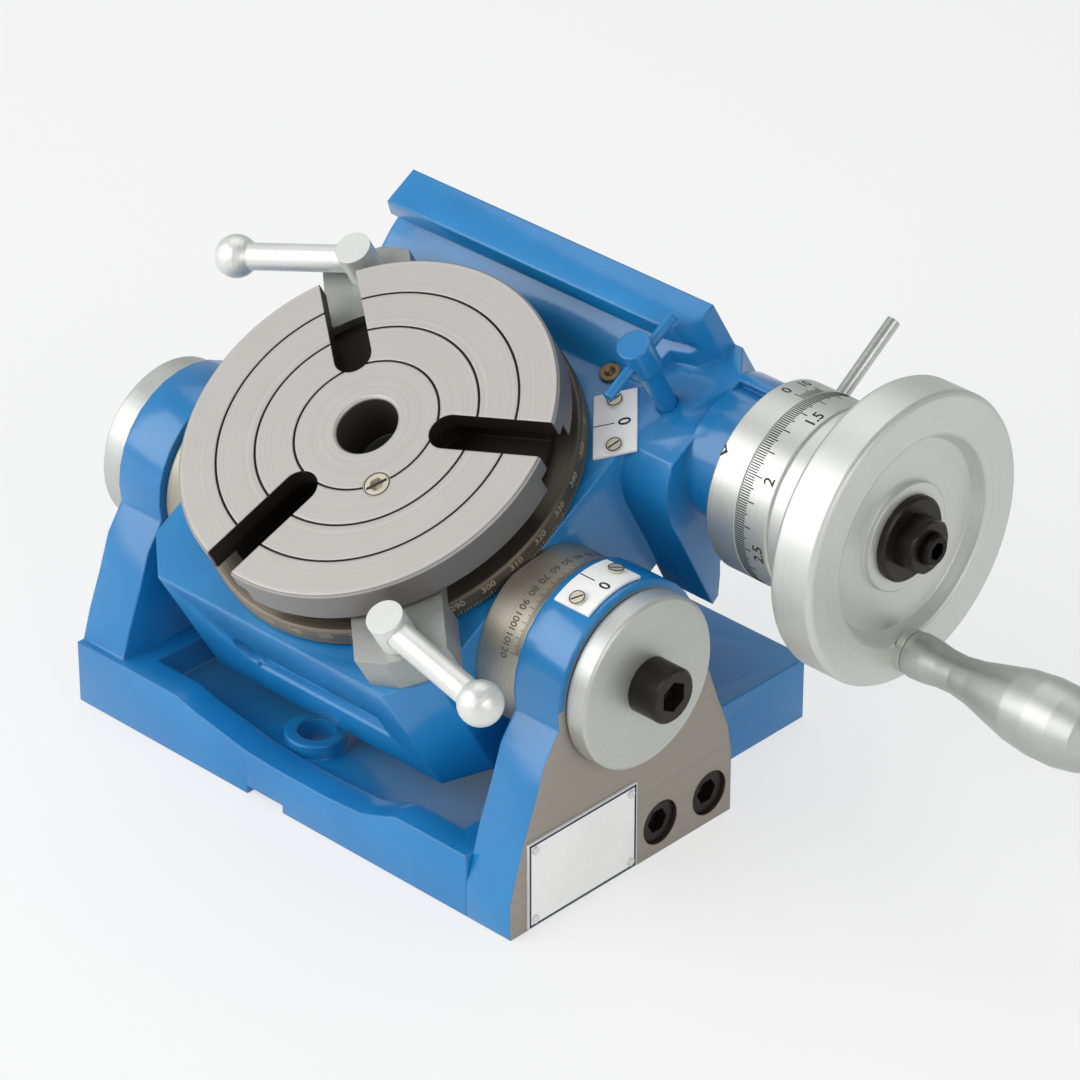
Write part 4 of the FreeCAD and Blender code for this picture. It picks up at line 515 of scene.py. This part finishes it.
# %% Give the CAD nodes their finishes
FINISHES = {
    table_metal: ["rotary_table"],
    scale_metal: ["graduated_ring", "worm_wheel", "retaining_nut"],
    ring_metal: ["trunnion_left", "trunnion_right"],
    wheel_metal: ["handwheel"],
    dial_metal: ["graduated_dial", "eccentric_sleeve", "worm_shaft_nut"],
    disc_metal: ["lock_disc_left", "lock_disc_right"],
    lever_metal: ["ball_lever_front", "ball_lever_rear", "name_plate_pins", "clamp_stud_front",
                  "clamp_stud_rear"],
    rod_metal: ["eccentric_lever", "crank_spindle"],
    shaft_metal: ["worm_shaft"],
    grip_metal: ["crank_grip"],
    block_metal: ["clamp_block_front", "clamp_block_rear", "wheel_key", "centre_sleeve"],
    oxide: ["upright_screws", "cover_screws", "trunnion_left_screws", "trunnion_right_screws",
            "lock_bolt_left", "lock_bolt_right", "wheel_screws", "wheel_washer", "wheel_nut"],
    bronze: ["trunnion_bush_right", "trunnion_bush_left", "table_bush", "worm_bush_inner",
             "worm_bush_outer"],
    white_enamel: ["tilt_index_plate", "table_index_plate", "name_plate"],
    cover_iron: ["bottom_cover"],
    brass: ["ball_oiler"],
    cream_metal: ["table_plug_screw", "tilt_index_screws", "table_index_screws"],
    enamel: ["base_casting", "cradle_casting", "sleeve_lock_screw", "sleeve_lock_bar"],
    enamel_and_iron: ["right_upright"],
}
for material, names in FINISHES.items():
    for name in names:
        slots = nodes[name].data.materials
        slots.clear()
        slots.append(material)
bare_nodes = sorted(set(nodes) - {name for names in FINISHES.values() for name in names})
print("nodes without a finish:", bare_nodes)

# %% [markdown]
# ## Rounded castings
#
# A casting never has a sharp edge: the pattern is drafted and the corners are filled before
# painting, so each edge of the enamel carries a thin bright line. The CAD node stays sharp
# for collision. A copy of it is cleaned, its edges are bevelled, and it stands for the node.

# %% Round the castings
def rounded_copy(name, width, segments=3, angle=24.0):
    """A bevelled copy of a CAD node, which then stands for it."""
    source = nodes[name]
    clean = bmesh.new()
    clean.from_mesh(source.data)
    bmesh.ops.remove_doubles(clean, verts=clean.verts, dist=2e-6)
    bmesh.ops.dissolve_limit(clean, angle_limit=math.radians(0.8), verts=clean.verts,
                             edges=clean.edges)
    mesh = bpy.data.meshes.new(name + "_rounded")
    clean.to_mesh(mesh)
    clean.free()
    for layer in ("custom_normal", "sharp_face", "sharp_edge"):
        if layer in mesh.attributes:
            mesh.attributes.remove(mesh.attributes[layer])
    mesh.materials.clear()
    mesh.materials.append(source.data.materials[0])
    item = bpy.data.objects.new(name + "_rounded", mesh)
    scene.collection.objects.link(item)
    round_off = item.modifiers.new("round_off", "BEVEL")
    round_off.width = width
    round_off.segments = segments
    round_off.limit_method = "ANGLE"
    round_off.angle_limit = math.radians(angle)
    round_off.use_clamp_overlap = True
    round_off.miter_outer = "MITER_ARC"
    bpy.context.view_layer.update()
    ready = item.evaluated_get(bpy.context.evaluated_depsgraph_get())
    final = bpy.data.meshes.new_from_object(ready)
    item.modifiers.clear()
    item.data = final
    final.name = name + "_rounded"
    final.shade_smooth()
    final.set_sharp_from_angle(angle=math.radians(32))
    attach(item, source["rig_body"])
    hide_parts(name)
    print(name, "faces", len(source.data.polygons), "->", len(final.polygons))
    return item


for casting in ("base_casting", "right_upright", "cradle_casting"):
    rounded_copy(casting, 0.9 * MM)

# %% [markdown]
# ## Graduations
#
# Degree marks are engraved lines, filled with paint, at even steps about an axis: every fifth
# is longer and every tenth longer still. A geometry tree makes them from named sizes. It lays
# out one point per mark, turns it about the axis, and puts a thin bar there whose length
# follows its number. The bars stand 0.04 mm proud so that they show on the metal.

# %% Tree for graduations
def graduation_tree():
    tree = bpy.data.node_groups.new("graduations", "GeometryNodeTree")
    face = tree.interface
    face.new_socket(name="Geometry", in_out="OUTPUT", socket_type="NodeSocketGeometry")
    for name, kind in (("Count", "NodeSocketInt"), ("Step", "NodeSocketFloat"),
                       ("First angle", "NodeSocketFloat"), ("Radius", "NodeSocketFloat"),
                       ("Start", "NodeSocketFloat"), ("Short", "NodeSocketFloat"),
                       ("Middle", "NodeSocketFloat"), ("Long", "NodeSocketFloat"),
                       ("Width", "NodeSocketFloat"), ("Direction", "NodeSocketFloat"),
                       ("Paint", "NodeSocketMaterial")):
        face.new_socket(name=name, in_out="INPUT", socket_type=kind)
    given = add(tree, "NodeGroupInput").outputs
    line = add(tree, "GeometryNodeMeshLine", links={"Count": given["Count"]})
    number = add(tree, "GeometryNodeInputIndex").outputs[0]
    turn = add(tree, "ShaderNodeMath", {"operation": "MULTIPLY_ADD"},
               {0: number, 1: given["Step"], 2: given["First angle"]}).outputs[0]
    tenth = add(tree, "FunctionNodeCompare", {"data_type": "INT", "operation": "EQUAL", 3: 0},
                {2: add(tree, "ShaderNodeMath", {"operation": "MODULO", 1: 10.0},
                        {0: number}).outputs[0]}).outputs[0]
    fifth = add(tree, "FunctionNodeCompare", {"data_type": "INT", "operation": "EQUAL", 3: 0},
                {2: add(tree, "ShaderNodeMath", {"operation": "MODULO", 1: 5.0},
                        {0: number}).outputs[0]}).outputs[0]
    some = add(tree, "GeometryNodeSwitch", {"input_type": "FLOAT"},
               {0: fifth, 1: given["Short"], 2: given["Middle"]}).outputs[0]
    length = add(tree, "GeometryNodeSwitch", {"input_type": "FLOAT"},
                 {0: tenth, 1: some, 2: given["Long"]}).outputs[0]
    cos = add(tree, "ShaderNodeMath", {"operation": "COSINE"}, {0: turn}).outputs[0]
    sin = add(tree, "ShaderNodeMath", {"operation": "SINE"}, {0: turn}).outputs[0]
    across = add(tree, "ShaderNodeMath", {"operation": "MULTIPLY"},
                 {0: cos, 1: given["Radius"]}).outputs[0]
    over = add(tree, "ShaderNodeMath", {"operation": "MULTIPLY"},
               {0: sin, 1: given["Radius"]}).outputs[0]
    half = add(tree, "ShaderNodeMath", {"operation": "MULTIPLY", 1: 0.5}, {0: length}).outputs[0]
    rise = add(tree, "ShaderNodeMath", {"operation": "MULTIPLY_ADD"},
               {0: half, 1: given["Direction"], 2: given["Start"]}).outputs[0]
    spot = add(tree, "ShaderNodeCombineXYZ", links={0: across, 1: over, 2: rise}).outputs[0]
    placed = add(tree, "GeometryNodeSetPosition",
                 links={"Geometry": line.outputs[0], "Position": spot})
    bar = add(tree, "GeometryNodeMeshCube", {"Size": (1, 1, 1)})
    spin = add(tree, "FunctionNodeEulerToRotation",
               links={0: add(tree, "ShaderNodeCombineXYZ", links={2: turn}).outputs[0]})
    thick = add(tree, "ShaderNodeCombineXYZ", {0: 0.08 * MM},
                {1: given["Width"], 2: length}).outputs[0]
    bars = add(tree, "GeometryNodeInstanceOnPoints",
               links={"Points": placed.outputs[0], "Instance": bar.outputs[0],
                      "Rotation": spin.outputs[0], "Scale": thick})
    solid = add(tree, "GeometryNodeRealizeInstances", links={0: bars.outputs[0]})
    painted = add(tree, "GeometryNodeSetMaterial",
                  links={"Geometry": solid.outputs[0], "Material": given["Paint"]})
    add(tree, "NodeGroupOutput", links={0: painted.outputs[0]})
    return tree


graduations = graduation_tree()


def run_tree(name, tree, values, transform, body):
    """Evaluate a geometry tree on an empty object, keep its mesh, and let it ride."""
    item = bpy.data.objects.new(name, bpy.data.meshes.new(name))
    scene.collection.objects.link(item)
    maker = item.modifiers.new("maker", "NODES")
    maker.node_group = tree
    for socket in tree.interface.items_tree:
        if socket.in_out == "INPUT" and socket.name in values:
            maker[socket.identifier] = values[socket.name]
    bpy.context.view_layer.update()
    ready = item.evaluated_get(bpy.context.evaluated_depsgraph_get())
    final = bpy.data.meshes.new_from_object(ready)
    item.modifiers.clear()
    final.transform(transform)
    final.name = name
    item.data = final
    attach(item, body)
    return item


def graduate(name, transform, body, slot, **values):
    values = {"Short": 1.3 * MM, "Middle": 1.9 * MM, "Long": 2.6 * MM, "Width": 0.22 * MM,
              "Direction": 1.0, "Paint": black_fill_and_shade, "First angle": 0.0, **values}
    values = {key.replace("_", " "): value for key, value in values.items()}
    item = run_tree(name, graduations, values, transform, body)
    print(name, "faces", len(item.data.polygons))
    return item


# %% Marks about the table, the dial and the trunnion
DEGREE = math.radians(1)
SCALE_ZERO = 40.3 * DEGREE
SCALE_RADIUS = 55.3 * MM
DIAL_RADIUS = 27.4 * MM
RING_RADIUS = 25.2 * MM
DIAL_ZERO = 296.8 * DEGREE
RING_ZERO = 10 * DEGREE
INDEX_ANGLE = 99.4 * DEGREE
graduate("table_degree_marks", TABLE_FRAME, "table", "dark_steel", Count=360, Step=DEGREE,
         First_angle=SCALE_ZERO, Radius=SCALE_RADIUS, Start=23.2 * MM, Short=0.9 * MM,
         Middle=1.3 * MM, Long=1.7 * MM, Width=0.2 * MM, Paint=cream_fill)
graduate("dial_minute_marks", WORM_FRAME, "dial", "satin_chrome", Count=240, Step=1.5 * DEGREE,
         First_angle=DIAL_ZERO, Radius=DIAL_RADIUS, Start=95.6 * MM, Short=3.0 * MM,
         Middle=3.7 * MM, Long=5.1 * MM, Width=0.32 * MM)
graduate("tilt_degree_marks", TRUNNION_FRAME, "cradle", "ground_steel", Count=121, Step=DEGREE,
         First_angle=RING_ZERO, Radius=RING_RADIUS, Start=68.6 * MM, Direction=-1.0,
         Short=1.4 * MM, Middle=2.1 * MM, Long=2.9 * MM, Width=0.2 * MM, Paint=grey_fill)
graduate("vernier_marks", WORM_FRAME, "eccentric", "satin_chrome", Count=11, Step=1.6 * DEGREE,
         First_angle=44 * DEGREE, Radius=DIAL_RADIUS, Start=94.9 * MM, Direction=-1.0,
         Short=2.2 * MM, Middle=2.9 * MM, Long=3.5 * MM, Width=0.26 * MM)


# %% [markdown]
# ## Figures
#
# The numbers beside the long marks are stamped digits. A text object gives each one its
# outline and a little thickness. Its mesh is then wrapped round the cylinder: the distance
# along the line of text becomes an angle. The text object itself is removed. The dial reads
# half a degree for every 45 degrees of its own turn, as in the photograph.

# %% Figures
DIGIT_SHARE = 0.7


def glyph_mesh(text, height):
    """Mesh of a short text, centred on its origin, in the XY plane."""
    curve = bpy.data.curves.new("figure", "FONT")
    curve.body = text
    curve.size = height / DIGIT_SHARE
    curve.extrude = 0.03 * MM
    curve.offset = 0.02 * height
    curve.resolution_u = 3
    curve.align_x = "CENTER"
    curve.align_y = "CENTER"
    item = bpy.data.objects.new("figure", curve)
    scene.collection.objects.link(item)
    bpy.context.view_layer.update()
    ready = item.evaluated_get(bpy.context.evaluated_depsgraph_get())
    mesh = bpy.data.meshes.new_from_object(ready)
    bpy.data.objects.remove(item)
    bpy.data.curves.remove(curve)
    return mesh


def wrap_figures(name, labels, height, radius, level, transform, body, paint, top="up"):
    """Wrap (text, angle) labels round a cylinder about Z, with their tops up or down its axis."""
    joined = bmesh.new()
    for text, angle in labels:
        mesh = glyph_mesh(text, height)
        piece = bmesh.new()
        piece.from_mesh(mesh)
        for vertex in piece.verts:
            across, high, out = vertex.co
            if top == "down":
                across, high = -across, -high
            turn = angle + across / radius
            reach = radius + out
            vertex.co = (reach * math.cos(turn), reach * math.sin(turn), level + high)
        piece.to_mesh(mesh)
        piece.free()
        joined.from_mesh(mesh)
        bpy.data.meshes.remove(mesh)
    bmesh.ops.remove_doubles(joined, verts=joined.verts, dist=1e-7)
    mesh = bpy.data.meshes.new(name)
    joined.to_mesh(mesh)
    joined.free()
    mesh.transform(transform)
    mesh.materials.append(paint)
    item = bpy.data.objects.new(name, mesh)
    scene.collection.objects.link(item)
    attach(item, body)
    print(name, "faces", len(mesh.polygons))
    return item


wrap_figures("table_degree_figures",
             [(str(10 * step), SCALE_ZERO + 10 * step * DEGREE) for step in range(36)],
             2.1 * MM, SCALE_RADIUS, 26.7 * MM, TABLE_FRAME, "table", cream_fill)
wrap_figures("dial_figures", [(f"{step / 2:g}", DIAL_ZERO + 45 * step * DEGREE)
                              for step in range(8)],
             3.3 * MM, DIAL_RADIUS, 103.3 * MM, WORM_FRAME, "dial", black_fill_and_shade,
             "down")
wrap_figures("tilt_figures", [(str(10 * step), RING_ZERO + 10 * step * DEGREE)
                              for step in range(13)],
             2.2 * MM, RING_RADIUS, 63.4 * MM, TRUNNION_FRAME, "cradle", grey_fill)
wrap_figures("vernier_figures", [("0", 60 * DEGREE), ("10", 45 * DEGREE)],
             3.0 * MM, DIAL_RADIUS, 88.6 * MM, WORM_FRAME, "eccentric", black_fill_and_shade,
             "down")

# %% [markdown]
# ## Index plates, name plate and screw slots
#
# Each index plate has one line and a zero. The name plate is left bare inside its printed
# border. Small screws show a dark gap round the head and a dark slot across it; both are
# drawn as thin black marks, painted shade in place of the gap and the slot. A second geometry
# tree draws that pair at evenly spaced points, so one call serves a row of screws.

# %% Printed bars and a zero
def flat_piece(name, mesh, transform, body, paint):
    mesh.transform(transform)
    mesh.materials.clear()
    mesh.materials.append(paint)
    item = bpy.data.objects.new(name, mesh)
    scene.collection.objects.link(item)
    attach(item, body)
    print(name, "faces", len(mesh.polygons))
    return item


def bars_mesh(name, bars, thick=0.06 * MM):
    """Thin boxes from (middle x, middle y, size x, size y), standing on the XY plane."""
    joined = bmesh.new()
    for x_at, y_at, x_size, y_size in bars:
        made = bmesh.ops.create_cube(joined, size=1.0)
        shape = Matrix.Diagonal((x_size, y_size, thick, 1))
        bmesh.ops.transform(joined, verts=made["verts"],
                            matrix=Matrix.Translation((x_at, y_at, 0)) @ shape)
    mesh = bpy.data.meshes.new(name)
    joined.to_mesh(mesh)
    joined.free()
    return mesh


def top_of(name, place):
    """Highest Z of a CAD node as seen from a place."""
    inverse = place.inverted()
    return max((inverse @ vertex.co).z for vertex in nodes[name].data.vertices)


TABLE_PLATE_PLACE = (47.8 * MM, 53.8 * MM, 0)
TABLE_PLATE_TURN = math.radians(38.5)
TABLE_PLATE = (CRADLE @ Matrix.Translation(TABLE_PLATE_PLACE)
               @ Matrix.Rotation(TABLE_PLATE_TURN, 4, "Z"))
plate_top = Matrix.Translation((0, 0, top_of("table_index_plate", TABLE_PLATE)))
flat_piece("table_index_line", bars_mesh("line", [(-3.2 * MM, 0, 6.0 * MM, 0.3 * MM)]),
           TABLE_PLATE @ plate_top, "cradle", black_fill_and_shade)
flat_piece("table_index_zero", glyph_mesh("0", 3.6 * MM),
           TABLE_PLATE @ plate_top @ Matrix.Translation((2.9 * MM, 0, 0))
           @ Matrix.Rotation(math.radians(90), 4, "Z"), "cradle", black_fill_and_shade)

PLATE_RADIUS = 27.93 * MM
graduate("tilt_index_line", UPRIGHT_FRAME, "base", "white_plate", Count=1, Step=0.0,
         First_angle=INDEX_ANGLE, Radius=PLATE_RADIUS, Start=72.7 * MM, Long=5.2 * MM,
         Width=0.3 * MM)
wrap_figures("tilt_index_zero", [("0", INDEX_ANGLE)], 3.4 * MM, PLATE_RADIUS, 81.3 * MM,
             UPRIGHT_FRAME, "base", black_fill_and_shade)

plate = nodes["name_plate"].data
low = Vector([min(vertex.co[axis] for vertex in plate.vertices) for axis in range(3)])
high = Vector([max(vertex.co[axis] for vertex in plate.vertices) for axis in range(3)])
wide, tall = high.y - low.y, high.z - low.z
edge, inset = 0.7 * MM, 0.65 * MM
border = [(0, side * (tall / 2 - inset), wide - 2 * inset + edge, edge) for side in (-1, 1)]
border += [(side * (wide / 2 - inset), 0, edge, tall - 2 * inset) for side in (-1, 1)]
flat_piece("name_plate_border", bars_mesh("border", border),
           Matrix.Translation((high.x, (low.y + high.y) / 2, (low.z + high.z) / 2)) @ LAY_ON_X,
           "base", navy_print)

COLLAR_EDGE = 85.3 * MM
triangle = bpy.data.meshes.new("triangle")
corners = [(COLLAR_EDGE, 107.5), (COLLAR_EDGE, 116.0), (COLLAR_EDGE + 1.9 * MM, 111.8)]
points = [((DIAL_RADIUS + 0.04 * MM) * math.cos(turn * DEGREE),
           (DIAL_RADIUS + 0.04 * MM) * math.sin(turn * DEGREE), out) for out, turn in corners]
triangle.from_pydata(points, [], [(0, 2, 1)])
flat_piece("sleeve_stop_mark", triangle, WORM_FRAME, "eccentric", black_fill_and_shade)


# %% Tree for screw slots
def slot_tree():
    tree = bpy.data.node_groups.new("screw_slots", "GeometryNodeTree")
    face = tree.interface
    face.new_socket(name="Geometry", in_out="OUTPUT", socket_type="NodeSocketGeometry")
    for name, kind in (("Count", "NodeSocketInt"), ("First", "NodeSocketVector"),
                       ("Step", "NodeSocketVector"), ("Radius", "NodeSocketFloat"),
                       ("Slot", "NodeSocketFloat"), ("Ring", "NodeSocketFloat"),
                       ("Turn", "NodeSocketFloat"), ("Paint", "NodeSocketMaterial")):
        face.new_socket(name=name, in_out="INPUT", socket_type=kind)
    given = add(tree, "NodeGroupInput").outputs
    spots = add(tree, "GeometryNodeMeshLine",
                links={"Count": given["Count"], "Start Location": given["First"],
                       "Offset": given["Step"]})
    # The bar and the ring are painted shade: the dark slot across the head and the gap round it.
    length = math_node(tree, "MULTIPLY", given["Radius"], 1.7)
    size = add(tree, "ShaderNodeCombineXYZ", {2: 0.06 * MM}, {0: length, 1: given["Slot"]})
    bar = add(tree, "GeometryNodeMeshCube", links={"Size": size.outputs[0]})
    path = add(tree, "GeometryNodeCurvePrimitiveCircle", {"Resolution": 32},
               {"Radius": given["Radius"]})
    section = add(tree, "GeometryNodeCurvePrimitiveCircle", {"Resolution": 6},
                  {"Radius": given["Ring"]})
    ring = add(tree, "GeometryNodeCurveToMesh", links={0: path.outputs[0], 1: section.outputs[0]})
    both = add(tree, "GeometryNodeJoinGeometry")
    tree.links.new(bar.outputs[0], both.inputs[0])
    tree.links.new(ring.outputs[0], both.inputs[0])
    spin = add(tree, "FunctionNodeEulerToRotation",
               links={0: add(tree, "ShaderNodeCombineXYZ", links={2: given["Turn"]}).outputs[0]})
    marks = add(tree, "GeometryNodeInstanceOnPoints",
                links={"Points": spots.outputs[0], "Instance": both.outputs[0],
                       "Rotation": spin.outputs[0]})
    solid = add(tree, "GeometryNodeRealizeInstances", links={0: marks.outputs[0]})
    painted = add(tree, "GeometryNodeSetMaterial",
                  links={"Geometry": solid.outputs[0], "Material": given["Paint"]})
    add(tree, "NodeGroupOutput", links={0: painted.outputs[0]})
    return tree


screw_slots = slot_tree()


def slot_screws(name, transform, body, count=1, first=(0, 0, 0), step=(0, 0, 0), radius=2.1,
                slot=0.5, ring=0.14, turn=0.0):
    # Painted shade at each screw, in the same black as the engraving paint.
    values = {"Count": count, "First": first, "Step": step, "Radius": radius * MM,
              "Slot": slot * MM, "Ring": ring * MM, "Turn": turn, "Paint": black_fill_and_shade}
    return run_tree(name, screw_slots, values, transform, body)


head_top = Matrix.Translation((0, 0, top_of("table_index_screws", TABLE_PLATE)))
slot_screws("table_index_slots", TABLE_PLATE @ head_top, "cradle", 2, (0, -7.6 * MM, 0),
            (0, 15.2 * MM, 0), turn=0.5)
INDEX_SCREW_X, INDEX_SCREW_RADIUS = 78.6 * MM, 2.3 * MM
for number, lean in enumerate((24.7, -5.9)):
    stand = (Matrix.Translation((INDEX_SCREW_X, 0, AXIS_HEIGHT))
             @ Matrix.Rotation(math.radians(lean), 4, "X"))
    crown = max((stand.inverted() @ vertex.co).z
                for vertex in nodes["tilt_index_screws"].data.vertices
                if (stand.inverted() @ vertex.co).xy.length < INDEX_SCREW_RADIUS)
    slot_screws(f"tilt_index_slot_{number}", stand @ Matrix.Translation((0, 0, crown)), "base",
                turn=0.9)
plug_top = top_of("table_plug_screw", CRADLE)
plug = [CRADLE.inverted() @ vertex.co for vertex in nodes["table_plug_screw"].data.vertices]
crown = [point for point in plug if point.z > plug_top - 0.1 * MM]
middle = sum((point.xy for point in crown), Vector((0, 0))) / len(crown)
print("plug screw at", [round(part * 1000, 1) for part in middle],
      "radius", round(max((point.xy - middle).length for point in crown) * 1000, 2))
slot_screws("plug_screw_slot", CRADLE @ Matrix.Translation((*middle, plug_top)), "table",
            radius=3.6, ring=0.16, slot=0.9, turn=1.0)
